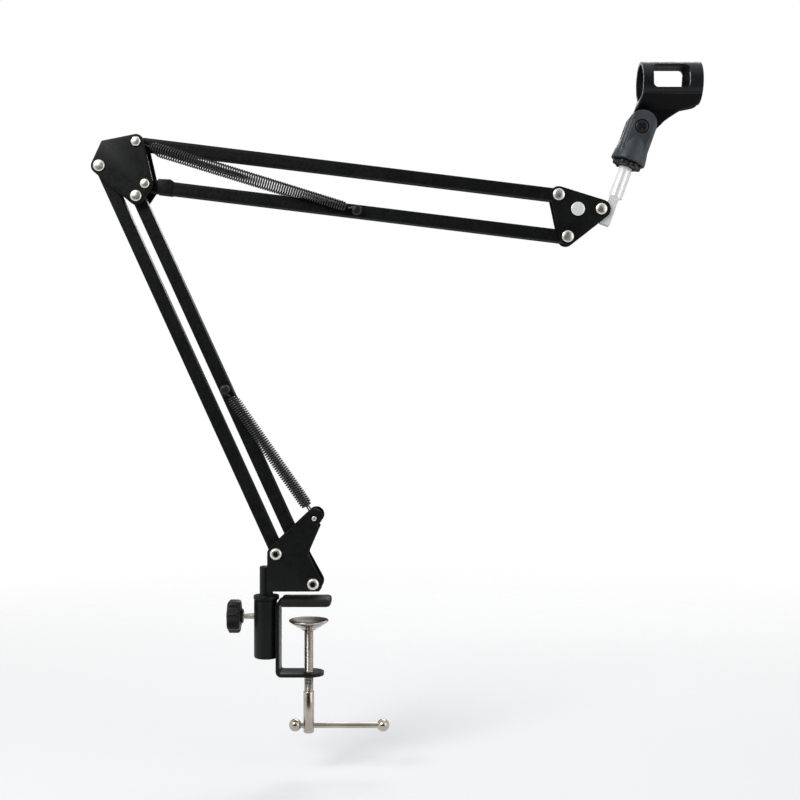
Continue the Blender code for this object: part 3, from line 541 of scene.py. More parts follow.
def piece(node, mesh, smooth=38, rides=True, look=None):
    """A finished piece that stands for one CAD node and rides on its body."""
    mesh.materials.clear()
    mesh.materials.append(MATERIALS[look or SLOT_OF[node]])
    mesh.shade_smooth()
    for face in mesh.polygons:
        face.use_smooth = len(face.vertices) < FLAT_CORNERS and face.area < FLAT_AREA
    mesh.set_sharp_from_angle(angle=math.radians(smooth))
    obj = placed(node + "_finished", mesh)
    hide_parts(node)
    if rides:
        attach(obj, BODY_OF[node])
    return obj


def dome(radius, height, base, steps=8):
    """Profile of a domed head from its rim to its crown."""
    rim = height * 0.3
    rise = height - rim
    points = [(radius, base)]
    for i in range(steps + 1):
        angle = math.pi / 2 * i / steps
        points.append((radius * math.cos(angle), base + rim + rise * math.sin(angle)))
    points[-1] = (0, base + height)
    return points


def rivet(node, height, lobes=0, depth=0.0, shank=PIN_R, look=None):
    """Rivet across the arm, a domed head at each end, sized by its node's box."""
    extent = size(node)
    reach = extent.y / 2 - height
    head = dome(extent.x / 2 - depth, height, reach)
    profile = [(r, -h) for r, h in reversed(head)] + [(shank, -reach), (shank, reach)] + head
    mesh = turned(profile, across(spot(node)), lobes=lobes, depth=depth, steps=72)
    piece(node, mesh, look=look)


def hexagon(radius, low, high):
    return stacked([[(*p, h) for p in circle((0, 0), radius, 6)] for h in (low, high)])


def nut(node):
    """Hexagon nut with chamfered corners and a bore."""
    low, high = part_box(node)
    corner = (high.x - low.x) / 2
    chamfer, clear, past = 0.0006, 0.0001, 0.001
    mesh = hexagon(corner, low.y, high.y)
    bevelled = corner * math.cos(math.pi / 6) - clear
    guard = [(0, low.y - past), (bevelled, low.y - past), (bevelled, low.y),
             (corner + clear, low.y + chamfer), (corner + clear, high.y - chamfer),
             (bevelled, high.y), (bevelled, high.y + past), (0, high.y + past)]
    mesh = combine(mesh, turned(guard, Matrix.Rotation(0.023, 4, "Z"), 72), "INTERSECT")
    mesh = combine(mesh, rod(HOLE_R, low.y - 0.01, high.y + 0.01, Matrix.Identity(4)))
    mesh.transform(across(spot(node)))
    piece(node, mesh)


def bush(node):
    low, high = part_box(node)
    outer = (high.x - low.x) / 2
    edge = 0.0003
    profile = [(HOLE_R, low.y), (outer - edge, low.y), (outer, low.y + edge),
               (outer, high.y - edge), (outer - edge, high.y), (HOLE_R, high.y)]
    piece(node, turned(profile, across(spot(node)), closed=True))


def drilled(mesh, *holes):
    """Mesh with holes of (centre, radius) drilled along Y."""
    for centre, radius in holes:
        mesh = combine(mesh, rod(radius, -2 * BEYOND, 2 * BEYOND, across(centre)))
    return mesh


# -------------------- clamp
STRIP_WIDTH = size("clamp_frame").y
STRIP_THICK = 0.0030
BEND_R = 0.0050
CLAMP_HOLE_R = 0.0043
BAR_R = 0.0024
BAR_HOLE_R = BAR_R + GAP


def make_clamp_frame():
    low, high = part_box("clamp_frame")
    inner = BEND_R - STRIP_THICK
    corner_x = low.x + BEND_R
    arm_end = 0.0130
    outline = [(high.x, high.z)]
    outline += arc((corner_x, high.z - BEND_R), BEND_R, 90, 180, 16)
    outline += arc((corner_x, low.z + BEND_R), BEND_R, 180, 270, 16)
    outline += [(arm_end, low.z), (arm_end, low.z + STRIP_THICK)]
    outline += arc((corner_x, low.z + BEND_R), inner, 270, 180, 10)
    outline += arc((corner_x, high.z - BEND_R), inner, 180, 90, 10)
    outline += [(high.x, high.z - STRIP_THICK)]
    half = STRIP_WIDTH / 2
    mesh = prism(outline, -half, half, 0.0004)
    plan = arc((arm_end - half, 0), half, 90, -90, 48)
    plan += rectangle(arm_end - half, -BEYOND, BEYOND, BEYOND)
    rings = [[(x, y, h) for x, y in plan] for h in (low.z - STRIP_THICK, low.z + 0.007)]
    mesh = combine(mesh, stacked(rings))
    mesh = combine(mesh, rod(CLAMP_HOLE_R, low.z - 0.005, low.z + 0.010, upright((0, 0))))
    piece("clamp_frame", mesh)


def make_jaw_pad():
    """Rubber sleeve whose long sides carry moulded ribs."""
    low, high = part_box("jaw_pad")
    half_y, half_z = high.y, (high.z - low.z) / 2
    middle_z = (high.z + low.z) / 2
    ribs, rib_depth, squareness = 4, 0.00045, 0.34
    end_round, start_round = 0.0042, 0.0016
    tip, butt, side_taper = 0.55, 0.86, 0.0022
    flank = 0.35
    slices, sides = 40, 120
    rings = []
    length = high.x - low.x
    for k in range(slices + 1):
        x = low.x + length * k / slices
        end = min(1.0, (high.x - x) / end_round)
        start = min(1.0, (x - low.x) / start_round)
        shrink = tip + (1 - tip) * math.sqrt(max(1 - (1 - end) ** 2, 0))
        shrink *= butt + (1 - butt) * math.sqrt(max(1 - (1 - start) ** 2, 0))
        ring = []
        for i in range(sides):
            angle = 2 * math.pi * i / sides
            c, s = math.cos(angle), math.sin(angle)
            width = half_y - side_taper * (1 - shrink) / (1 - tip)
            y = math.copysign(abs(c) ** squareness, c) * width
            z = math.copysign(abs(s) ** squareness, s) * half_z * shrink
            groove = rib_depth * (0.5 - 0.5 * math.cos(math.pi * ribs * (z / half_z + 1)))
            if abs(c) > flank:
                y -= math.copysign(groove * min(1.0, end * 1.5), y)
            ring.append((x, y, middle_z + z))
        rings.append(ring)
    mesh = stacked(rings)
    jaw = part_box("clamp_frame")[1]
    side = STRIP_WIDTH / 2 + GAP
    cavity = rectangle(-0.030, jaw.z - STRIP_THICK - GAP, jaw.x + GAP, jaw.z + GAP)
    piece("jaw_pad", combine(mesh, prism(cavity, -side, side)), smooth=50)


def make_socket():
    """Tube with a thin lip, flattened against the strip, with weld beads along the seam."""
    low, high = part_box("post_socket")
    lip = POST_X - low.x
    body_r, bore = lip - 0.0004, 0.0061
    lip_low = high.z - 0.0036
    floor = low.z + 0.0029
    thumb_z = JOINTS["thumb_screw_turn"]["pos_m"][2]
    profile = [(bore, high.z), (lip - 0.0008, high.z)]
    profile += [polar((lip - 0.0008, high.z - 0.0008), 0.0008, a) for a in (70, 45, 20, 0)]
    profile += [(lip, lip_low + 0.0003), (lip - 0.0004, lip_low), (body_r - 0.0008, lip_low - 0.0003),
                (body_r - 0.0008, lip_low - 0.0007), (body_r, lip_low - 0.0010),
                (body_r, low.z + 0.0020)]
    profile += [polar((body_r - 0.0020, low.z + 0.0020), 0.0020, -a) for a in (20, 40, 60, 80)]
    profile += [(body_r - 0.0020, low.z), (0, low.z), (0, floor), (bore, floor)]
    mesh = turned(profile, upright((POST_X, 0)), 72, closed=True)
    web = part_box("clamp_frame")[0].x - GAP
    space = rectangle(web, low.z - 0.01, 0, lip_low - 0.0006)
    mesh = combine(mesh, prism(space, -BEYOND, BEYOND))
    mesh = combine(mesh, rod(bore, floor + 0.00013, 0.0, upright((POST_X, 0)), 72))
    mesh = combine(mesh, rod(PIN_R, -BEYOND, 0, sideways((POST_X, thumb_z))))
    seam_y = math.sqrt(body_r ** 2 - (web - POST_X) ** 2)
    for z in (-0.0050, -0.0210, -0.0400):
        for side in (FRONT, BACK):
            bead = [(0, -0.0022), (0.0009, -0.0018), (0.0013, 0.0), (0.0009, 0.0018), (0, 0.0022)]
            seam = Matrix.Translation((web - 0.0017, side * (seam_y + 0.0007), z))
            mesh = combine(mesh, turned(bead, seam @ Matrix.Rotation(0.1, 4, "Z"), 16), "UNION")
    piece("post_socket", mesh)


def make_thumb_screw():
    stud_low, stud_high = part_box("thumb_stud")
    knob_low, knob_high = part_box("thumb_knob")
    axis = sideways((0, middle("thumb_stud").z))
    pitch = 0.0008
    piece("thumb_stud", threaded(0.0026, 0.0004, pitch, stud_low.x, stud_high.x, axis))
    flute, lobes = 0.0013, 7
    widest, soft = 0.0132, 0.0024
    face = knob_high.x - 0.0022
    profile = [(0, knob_low.x), (0.0080, knob_low.x)]
    profile += arc((widest - soft, knob_low.x + soft), soft, -90, 0, 8)
    profile += arc((widest - soft, face - soft), soft, 0, 90, 8)
    profile += [(0.0082, face), (0.0066, knob_high.x - 0.0016),
                (0.0060, knob_high.x - 0.0004), (0.0055, knob_high.x), (0, knob_high.x)]
    mesh = turned(profile, axis, 196, lobes=lobes, depth=flute)
    mesh = combine(mesh, rod(PIN_R, stud_low.x - GAP, knob_high.x + 0.010, axis))
    piece("thumb_knob", mesh, smooth=50)


def make_clamp_screw():
    low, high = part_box("pressure_pad")
    rim, radius = high.z, high.x
    hub = rim - 0.0084
    socket = rim - 0.0048
    bowl_r = 0.0148
    profile = [(0, rim - 0.0034), (0.0040, rim - 0.0033), (0.0085, rim - 0.0027),
               (0.0120, rim - 0.0015), (bowl_r, rim), (radius - 0.0004, rim),
               (radius, rim - 0.0004), (radius, rim - 0.0010)]
    profile += [(0.0155, rim - 0.0022), (0.0130, rim - 0.0041), (0.0105, rim - 0.0056),
                (0.0080, rim - 0.0068), (0.0068, hub + 0.0010), (0.0062, hub),
                (CLAMP_HOLE_R, hub), (CLAMP_HOLE_R, socket), (0, socket)]
    pad = piece("pressure_pad", turned(profile, upright((0, 0)), 96), smooth=50)
    # The upward faces inside the bowl take the darker, browner nickel.
    paint(pad, "stained_nickel", lambda p, n: n.z > 0.5 and math.hypot(p.x, p.y) < bowl_r + 0.0001)
    screw_low, screw_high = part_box("clamp_screw")
    head_z = -0.0730
    pitch = 0.00125
    thread = threaded(CLAMP_HOLE_R - GAP, 0.0005, pitch, head_z - 0.001, screw_high.z,
                      upright((0, 0)))
    head_r = screw_high.x
    head = [(0, screw_low.z), (head_r - 0.0010, screw_low.z), (head_r - 0.0003, screw_low.z + 0.0004),
            (head_r, screw_low.z + 0.0011), (head_r, head_z - 0.0010),
            (head_r - 0.0004, head_z - 0.0003), (head_r - 0.0010, head_z), (0, head_z)]
    mesh = combine(thread, turned(head, upright((0, 0)), 64), "UNION")
    bar_z = middle("tommy_bar").z
    mesh = combine(mesh, rod(BAR_HOLE_R, -BEYOND, BEYOND, sideways((0, bar_z))))
    piece("clamp_screw", mesh)
    bar_low, bar_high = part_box("tommy_bar")
    piece("tommy_bar", rod(BAR_R, bar_low.x, bar_high.x, sideways((0, bar_z))))
    for node, outward in (("tommy_ball_left", -1), ("tommy_ball_right", 1)):
        make_ball(node, outward, bar_z)


def make_ball(node, outward, z):
    """Ball with a blind bore for the bar's end, opening towards the screw."""
    low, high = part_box(node)
    radius = (high.z - low.z) / 2
    bore_end = 0.0021
    centre_x = high.x - radius if outward > 0 else low.x + radius
    opening = math.degrees(math.acos(BAR_HOLE_R / radius))
    profile = arc((0, 0), radius, -opening, 90, 28)[:-1]
    profile += [(0, radius), (0, bore_end), (BAR_HOLE_R, bore_end)]
    place = Matrix.Translation((centre_x, 0, z)) @ Matrix.Rotation(outward * math.pi / 2, 4, "Y")
    piece(node, turned(profile, place, 56, closed=True), smooth=50)


# -------------------- base
ANCHOR_R = 0.0013


def bracket_outline():
    low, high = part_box("base_bracket")
    lobe_r = 0.0068
    lobe = (high.x - lobe_r, high.z - lobe_r)
    points = [(low.x, low.z)]
    points += arc(PIVOT_A, PIVOT_A[0] - low.x, 180, 134, 14)
    points += arc(lobe, lobe_r, 134, -72, 40)
    points += [(0.0095, 0.0672), (0.0003, 0.0462), (0.0001, 0.0442)]
    points += arc(PIVOT_B, 0.0079, 32, -52, 20)
    points += [(0.0012, low.z)]
    return points


def make_base():
    low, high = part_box("base_bracket")
    mesh = prism(bracket_outline(), low.y, high.y, PLATE_EDGE)
    web = low.x + PLATE_THICK
    inner = high.y - PLATE_THICK
    web_top = 0.0360
    left, right, top = -0.07, 0.04, 0.11
    channel = [(web, 0.0), (right, 0.0), (right, top), (left, top), (left, web_top), (web, web_top)]
    mesh = combine(mesh, prism(channel, -inner, inner))
    mesh = drilled(mesh, (PIVOT_A, HOLE_R), (PIVOT_B, HOLE_R), (ANCHOR, ANCHOR_R + GAP))
    piece("base_bracket", mesh)
    make_post()
    for node in ("base_bolt_left", "base_bolt_right"):
        make_button_bolt(node)
    for node in ("base_nut_left", "base_nut_right"):
        nut(node)
    for node, side in (("spring_anchor_front", FRONT), ("spring_anchor_back", BACK)):
        make_anchor(node, side)


def make_post():
    low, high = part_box("post")
    radius = high.y
    chamfer, soft = 0.0010, 0.0009
    profile = [(0, low.z), (radius - chamfer, low.z), (radius, low.z + chamfer)]
    profile += arc((radius - soft, high.z - soft), soft, 0, 90, 3)
    profile += [(0, high.z)]
    mesh = turned(profile, upright((POST_X, 0)), 72)
    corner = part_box("base_bracket")[0]
    flat = rectangle(corner.x - GAP, corner.z - GAP, 0.0, 0.05)
    piece("post", combine(mesh, prism(flat, -BEYOND, BEYOND)))


def make_button_bolt(node):
    low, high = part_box(node)
    at = spot(node)
    radius = (high.x - low.x) / 2
    crown = 0.0029
    seat = low.y + 0.0032
    profile = [(0, low.y), (crown, low.y)]
    profile += shoulder(crown, radius, low.y, seat - 0.0004, 10)
    profile += [(radius, seat), (PIN_R, seat), (PIN_R, high.y - 0.0006), (PIN_R - 0.0006, high.y),
                (0, high.y)]
    mesh = turned(profile, Matrix.Identity(4), 72)
    hex_r, hex_floor = 0.0026, low.y + 0.0024
    mesh = combine(mesh, hexagon(hex_r, low.y - 0.001, hex_floor))
    mesh.transform(across(at))
    bolt = piece(node, mesh)
    # Painted shade: the faces inside the hex socket take a dark, rough finish.
    paint(bolt, "recess", lambda p, n: low.y + 0.0002 < p.y <= hex_floor + 1e-5
          and math.dist((p.x, p.z), at) < hex_r)


def make_anchor(node, side):
    low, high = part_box(node)
    near, far = sorted((abs(low.y), abs(high.y)))
    face = far - 0.0008
    profile = [(0, near), (0.0019, near), (0.0022, near + 0.0003), (0.0022, near + 0.0008),
               (ANCHOR_R, near + 0.0008), (ANCHOR_R, face)]
    profile += dome(0.0020, 0.0008, face, 6)
    mesh = turned([(r, side * h) for r, h in profile], across(ANCHOR), 32)
    piece(node, mesh)


# -------------------- arms
LOWER_EYES = (0.0033, 0.0037)  # radius of the spring's hook at its start and end
UPPER_EYES = (0.0041, 0.0037)
LOWER_ENDS = (0.0118, 0.0080)  # length without coils at its start and end
UPPER_ENDS = (0.0130, 0.0090)


def make_bar(node, start, end, pin=None):
    """Square tube with rounded corners and open, rounded ends."""
    forward = heading(start, end)
    slope = math.degrees(math.atan2(forward[1], forward[0]))
    outline = arc(start, HALF_BAR, slope + 90, slope + 270, 28)
    outline += arc(end, HALF_BAR, slope - 90, slope + 90, 28)
    mesh = prism(outline, -HALF_BAR, HALF_BAR, BAR_CORNER, 6)
    hollow = HALF_BAR - BAR_WALL
    reach = math.dist(start, end) + 2 * HALF_BAR
    inside = along(start, forward, rectangle(-2 * HALF_BAR, -hollow, reach, hollow))
    mesh = combine(mesh, prism(inside, -hollow, hollow))
    holes = [(start, HOLE_R), (end, HOLE_R)]
    if pin:
        holes.append((pin, SPRING_PIN_R + GAP))
    piece(node, drilled(mesh, *holes))


def spring_line(start, end, start_eye, end_eye, coil_start, coil_end, side):
    """Centre line of a tension spring and each point's place from 0 to 1 along it."""
    length = math.dist(start, end)
    forward = heading(start, end)
    back = (-forward[0], -forward[1])
    points = []

    def put(distance, y, lift=0.0):
        x, z = step(step(start, forward, distance), (-forward[1], forward[0]), lift)
        points.append((Vector((x, side * y, z)), min(max(distance / length, 0), 1)))

    facing = math.degrees(math.atan2(forward[1], forward[0]))
    for x, z in arc(start, start_eye, facing + HOOK_FROM, facing + HOOK_TO, 28):
        points.append((Vector((x, side * HOOK_Y, z)), 0.0))
    put(start_eye + HOOK_NECK, HOOK_Y)
    coil = length - coil_start - coil_end
    turns = round(coil / COIL_PITCH)
    per_turn = 16
    for i in range(turns * per_turn + 1):
        share = i / (turns * per_turn)
        angle = math.pi + 2 * math.pi * i / per_turn
        reach = COIL_R * min(1.0, END_TAPER + min(share, 1 - share) * turns * TAPER_RATE)
        put(coil_start + coil * share, COIL_Y + reach * math.cos(angle), reach * math.sin(angle))
    put(length - end_eye - HOOK_NECK, COIL_Y)
    tail_facing = math.degrees(math.atan2(back[1], back[0]))
    tail = arc(end, end_eye, tail_facing + HOOK_FROM, tail_facing + HOOK_TO, 28)
    points += [(Vector((x, side * COIL_Y, z)), 1.0) for x, z in reversed(tail)]
    return points


def wire(points, radius, sides):
    """Round wire along a path, with the path share of each vertex in order."""
    places = [p for p, _ in points]
    rings, shares = [], []
    normal = Vector((0, 1, 0))
    for i, (point, share) in enumerate(points):
        tangent = (places[min(i + 1, len(places) - 1)] - places[max(i - 1, 0)]).normalized()
        normal = (normal - tangent * normal.dot(tangent)).normalized()
        other = tangent.cross(normal)
        ring = []
        for k in range(sides):
            angle = 2 * math.pi * k / sides
            ring.append(point + (normal * math.cos(angle) + other * math.sin(angle)) * radius)
        rings.append(ring)
        shares += [share] * sides
    return stacked(rings), shares


def straight_weight(share, anchor, pin, pivot, swings):
    """How far a point turns with the arm, so that the spring stays nearest to straight."""
    rest = Vector(minus(anchor, pivot)).lerp(Vector(minus(pin, pivot)), share)
    slip = 0.05  # how much a shift along the spring counts beside a bow
    steps = 200
    best = (math.inf, share)
    for k in range(steps + 1):
        weight = k / steps
        error = 0.0
        for swing in swings:
            moved = Matrix.Rotation(-weight * swing, 2) @ rest
            far = Matrix.Rotation(-swing, 2) @ Vector(minus(pin, pivot))
            fixed = Vector(minus(anchor, pivot))
            line = (far - fixed).normalized()
            gap = moved - fixed.lerp(far, share)
            error += (gap - line * gap.dot(line)).length_squared + slip * gap.length_squared
        best = min(best, (error, weight))
    return best[1]


def make_spring(node, anchor, pin, pivot, joint, eyes, ends, side):
    path = spring_line(anchor, pin, *eyes, *ends, side)
    mesh, shares = wire(path, WIRE_R, 8)
    obj = piece(node, mesh, smooth=70, rides=False)
    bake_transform(obj)
    low, high = (math.radians(v) for v in JOINTS[joint]["range_deg"])
    swings = (low, low / 2, high / 2, high)
    knots = np.linspace(0, 1, 41)
    table = [straight_weight(float(k), anchor, pin, pivot, swings) for k in knots]
    table[0], table[-1] = 0.0, 1.0


def make_arms():
    make_bar("lower_bar_a", PIVOT_A, ELBOW_LEFT)
    make_bar("lower_bar_b", PIVOT_B, ELBOW_BOTTOM, LOWER_PIN)
    make_bar("upper_bar_a", ELBOW_TOP, HEAD_TOP)
    make_bar("upper_bar_b", ELBOW_RIGHT, HEAD_BOTTOM, UPPER_PIN)
    for node in ("lower_spring_pin", "upper_spring_pin"):
        rivet(node, 0.0018, shank=SPRING_PIN_R)
    for side, name in ((FRONT, "front"), (BACK, "back")):
        make_spring("lower_spring_" + name, ANCHOR, LOWER_PIN, PIVOT_B,
                    "lower_arm_swing", LOWER_EYES, LOWER_ENDS, side)
        make_spring("upper_spring_" + name, ELBOW_TOP, UPPER_PIN, ELBOW_RIGHT,
                    "upper_arm_swing", UPPER_EYES, UPPER_ENDS, side)
    make_fold_stop()


def make_fold_stop():
    forward = heading(ELBOW_RIGHT, HEAD_BOTTOM)
    wedge = along(ELBOW_RIGHT, forward, [(0.0092, -0.0058), (0.0214, -0.0058), (0.0222, 0.0059),
                                         (0.0196, 0.0072), (0.0092, 0.0064)])
    half = size("fold_stop").y / 2
    room = HALF_BAR + GAP
    space = along(ELBOW_RIGHT, forward, rectangle(0, -room, 0.04, room))
    piece("fold_stop", combine(prism(wedge, -half, half, 0.0004), prism(space, -room, room)))


# -------------------- elbow and head
def make_plates(stem, outline, holes):
    for name in (stem + "_front", stem + "_back"):
        low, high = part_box(name)
        mesh = prism(outline, low.y, high.y, PLATE_EDGE)
        piece(name, drilled(mesh, *[(hole, HOLE_R) for hole in holes]))


def make_elbow():
    corner = plus(ELBOW_LEFT, (0.0034, 0.0192))
    outline = ears((ELBOW_LEFT, 0.0070), (ELBOW_BOTTOM, 0.0074), (ELBOW_RIGHT, 0.0068),
                   (ELBOW_TOP, 0.0064), (corner, 0.0020))
    make_plates("elbow_plate", outline, (ELBOW_LEFT, ELBOW_BOTTOM, ELBOW_RIGHT, ELBOW_TOP))
    for name in ("left", "bottom", "right"):
        rivet("elbow_rivet_" + name, 0.0020)
    rivet("elbow_pin_top", 0.0022, lobes=6, depth=0.00018)
    for node in BODY_OF:
        if "_bush_" in node:
            bush(node)


def make_head():
    outline = ears((HEAD_TOP, 0.0072), (HEAD_BOTTOM, 0.0072), (TIP, 0.0081))
    make_plates("head_plate", outline, (HEAD_TOP, HEAD_BOTTOM, HEAD_SPACER, TIP))
    rivet("head_rivet_top", 0.0020)
    rivet("head_rivet_bottom", 0.0020)
    rivet("head_spacer", 0.0009, look="chrome")
    low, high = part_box("head_pivot_bolt")
    head = dome((high.x - low.x) / 2, 0.0022, -low.y - 0.0022)
    profile = [(r, -h) for r, h in reversed(head)]
    profile += [(PIN_R, low.y + 0.0022), (PIN_R, high.y - 0.0006), (PIN_R - 0.0006, high.y),
                (0, high.y)]
    piece("head_pivot_bolt", turned(profile, across(TIP), 64))
    nut("head_pivot_nut")


def make_stud():
    """Round stem with a flat tilting lug and a threaded upper end."""
    lug = [(0.0116, -0.0105), (0.0116, 0.0125), (0.0137, 0.0152), (0.0027, 0.0152),
           (0.0027, 0.0090)]
    lug += arc((0, 0), 0.0078, 75, 270, 48)
    lug += [(0.0045, -0.0105)]
    outline = [step(step(TIP, STEM_SIDE, w), STEM_DIR, u) for w, u in lug]
    lug_half = min(size("swivel_stud").y / 2, 0.0054)
    mesh = drilled(prism(outline, -lug_half, lug_half, 0.0003), (TIP, HOLE_R))
    foot = step(TIP, STEM_SIDE, 0.0082)
    ring = math.dist(foot, RING_BASE) - GAP
    pivot = math.dist(foot, CLIP_PIVOT)
    top = pivot - 0.0190
    radius = 0.0060
    stem = [(0, 0.0145), (radius, 0.0145), (radius, ring - 0.0010), (radius - 0.0003, ring - 0.0003),
            (radius - 0.0010, ring), (0, ring)]
    pitch = 0.0012
    thread = threaded(0.0047, 0.0006, pitch, ring - 0.94 * pitch, top, on_stem(foot))
    round_part = combine(turned(stem, on_stem(foot), 71), thread, "UNION")
    piece("swivel_stud", combine(mesh, round_part, "UNION"))


# -------------------- microphone clip
THREAD_HOLE_R = 0.0050


def make_lock_ring():
    thick = math.dist(RING_BASE, CLIP_FOOT) - GAP
    radius, lobe = 0.0112, 0.0012
    soft = 0.0010
    profile = [(0, 0), (radius - soft, 0)]
    profile += arc((radius - soft, soft), soft, -90, 0, 6)[1:]
    profile += arc((radius - soft, thick - soft), soft, 0, 90, 6)
    profile += [(0, thick)]
    mesh = turned(profile, on_stem(RING_BASE), 144, lobes=6, depth=lobe)
    mesh = combine(mesh, rod(THREAD_HOLE_R, -0.005, 0.015, on_stem(RING_BASE)))
    piece("clip_lock_ring", mesh, smooth=50)


SLOT_HALF = 0.0040
CLIP_HALF_Y = 0.0110
SADDLE_CORNER = 0.0030
BASE_VOXEL = 0.00030
BODY_VOXEL = 0.00034
RELAX_ROUNDS = 5
RIB_DEG = 38  # where the tube's side ribs sit, in degrees below its middle


def rounded_column(half_w, half_y, corner):
    """Column along the stem with rounded vertical edges."""
    plan = rounded_rectangle(-half_w, -half_y, half_w, half_y, corner, 10)
    rings = []
    for height in (-0.045, 0.025):
        flat = stem_points([(w, height) for w, _ in plan])
        rings.append([(x, y, z) for (x, z), (_, y) in zip(flat, plan)])
    return stacked(rings)


def make_clip_base():
    drop = math.dist(CLIP_PIVOT, CLIP_FOOT)
    body = arc((0, 0.0017), 0.0124, 0, 180, 48)
    body += [(-0.0126, -0.0240), (-0.0126, 0.0040 - drop), (0.0126, 0.0040 - drop),
             (0.0126, -0.0240)]
    mesh = prism(stem_points(body), -CLIP_HALF_Y, CLIP_HALF_Y)
    mesh = combine(mesh, rounded_column(0.0127, CLIP_HALF_Y + 0.0001, 0.0048), "INTERSECT")
    foot = [(0, 0), (0.0140, 0), (0.0146, 0.0002), (0.0148, 0.0008), (0.0148, 0.0026),
            (0.0144, 0.0060), (0.0137, 0.0100), (0.0128, 0.0150), (0.0116, 0.0200), (0, 0.0200)]
    mesh = combine(mesh, turned(foot, on_stem(CLIP_FOOT), 72), "UNION")
    slot = stem_points(rectangle(-0.03, -0.0142, 0.03, 0.03))
    mesh = combine(mesh, prism(slot, -SLOT_HALF, SLOT_HALF))
    mesh = combine(mesh, rod(THREAD_HOLE_R, -0.01, drop - 0.0170, on_stem(CLIP_FOOT)))
    mesh = drilled(mesh, (CLIP_PIVOT, HOLE_R))
    mesh = combine(mesh, rod(0.0062, -BEYOND, -0.0085, across(CLIP_PIVOT)))
    across_flats = 0.0106
    recess = hexagon(across_flats / 2 / math.cos(math.pi / 6), 0.0070, BEYOND)
    recess.transform(across(CLIP_PIVOT))
    mesh = combine(mesh, recess)
    groove = stem_points(rectangle(-0.0090, 0.0080 - drop, -0.0082, 0.0040))
    for side in (FRONT, BACK):
        low, high = sorted((side * (CLIP_HALF_Y - 0.0007), side * BEYOND))
        mesh = combine(mesh, prism(groove, low, high))
    piece("clip_base", moulded(mesh, BASE_VOXEL, RELAX_ROUNDS), smooth=60, look="grey_plastic")


def make_clip_screw():
    low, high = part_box("clip_pivot_screw")
    profile = [(0, low.y), (0.0034, low.y)]
    profile += shoulder(0.0034, 0.0056, low.y, low.y + 0.0010, 6)
    seat = -0.0088
    profile += [(0.0056, seat), (PIN_R, seat), (PIN_R, high.y), (0, high.y)]
    mesh = turned(profile, across(CLIP_PIVOT), 56)
    for angle in (45, 135):
        blade = (math.cos(math.radians(angle)), math.sin(math.radians(angle)))
        slot = along(CLIP_PIVOT, blade, rectangle(-0.0034, -0.0006, 0.0034, 0.0006))
        mesh = combine(mesh, prism(slot, low.y - 0.001, low.y + 0.0009))
    piece("clip_pivot_screw", mesh)
    nut("clip_pivot_nut")


def saddle():
    """The belly that narrows from the tube's width down to the pivot tongue."""
    levels = (  # height above the pivot, left end, right end, half width
        (0.0140, -0.0050, 0.0300, 0.0037), (0.0156, -0.0046, 0.0345, 0.0042),
        (0.0168, -0.0041, 0.0402, 0.0050), (0.0180, -0.0036, 0.0452, 0.0060),
        (0.0190, -0.0032, 0.0475, 0.0068), (0.0203, -0.0027, 0.0490, 0.0079),
        (0.0225, -0.0018, 0.0500, 0.0096),
        (0.0250, -0.0008, 0.0501, 0.0117), (0.0268, 0.0000, 0.0501, 0.0132),
        (0.0290, 0.0004, 0.0501, 0.0140),
    )
    rings = []
    for height, left, right, half in levels:
        ring = rounded_rectangle(left, -half, right, half, min(half, SADDLE_CORNER), 6)
        rings.append([(CLIP_PIVOT[0] + x, y, CLIP_PIVOT[1] + height) for x, y in ring])
    return stacked(rings)


def side_rib(centre, outer, length, side):
    """Low rib along the tube, where the belly starts."""
    angle = math.radians(-RIB_DEG)
    y, z = outer * math.cos(angle) - 0.0004, outer * math.sin(angle)
    profile = [(0, 0.0006), (0.0006, 0.0009), (0.0009, 0.0016), (0.0009, length - 0.0016),
               (0.0006, length - 0.0009), (0, length - 0.0006)]
    place = (Matrix.Translation((centre[0], side * y, centre[1] + z))
             @ Matrix.Rotation(math.radians(90), 4, "Y") @ Matrix.Rotation(0.05, 4, "Z"))
    return turned(profile, place, 18)


def make_clip_body():
    low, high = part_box("clip_body")
    outer = (high.y - low.y) / 2
    bore = outer - 0.0028
    start = CLIP_PIVOT[0]
    length = high.x - start
    centre = (start, high.z - outer)
    mesh = turned([(0, 0), (outer, 0), (outer, length), (0, length)], sideways(centre), 120)
    mesh = combine(mesh, saddle(), "UNION")
    tongue = arc(CLIP_PIVOT, 0.0115, 118, 344, 48)
    tongue += [plus(CLIP_PIVOT, p) for p in ((0.0165, 0.0022), (0.0190, 0.0046), (0.0210, 0.0068),
                                             (0.0254, 0.0100), (0.0300, 0.0130), (0.0345, 0.0158),
                                             (0.0345, 0.0200), (-0.0030, 0.0200),
                                             (-0.0054, 0.0140))]
    half = SLOT_HALF - GAP
    mesh = combine(mesh, prism(tongue, -half, half), "UNION")
    mesh = combine(mesh, rod(bore, -0.01, length + 0.01, sideways(centre), 120))
    for side in (FRONT, BACK):
        mesh = combine(mesh, side_rib(centre, outer, length, side), "UNION")
    window = rounded_rectangle(0.0087, -0.0068, 0.0394, 0.0135, 0.0040, 8)
    mesh = combine(mesh, prism([plus(centre, p) for p in window], -0.03, 0.03))
    mesh = drilled(mesh, (CLIP_PIVOT, HOLE_R))
    clip = piece("clip_body", moulded(mesh, BODY_VOXEL, RELAX_ROUNDS), smooth=60)
    rib_z = centre[1] - outer * math.sin(math.radians(RIB_DEG)) - 0.0008
    # Painted highlight: the left rim face of the tube takes the lighter plastic.
    paint(clip, "grey_plastic", lambda p, n: n.x < -0.7 and p.x < start + 0.0012)
    # Painted shade: the belly below the side ribs takes the darker plastic.
    paint(clip, "saddle_plastic", lambda p, n: p.z < rib_z and n.x > -0.6)


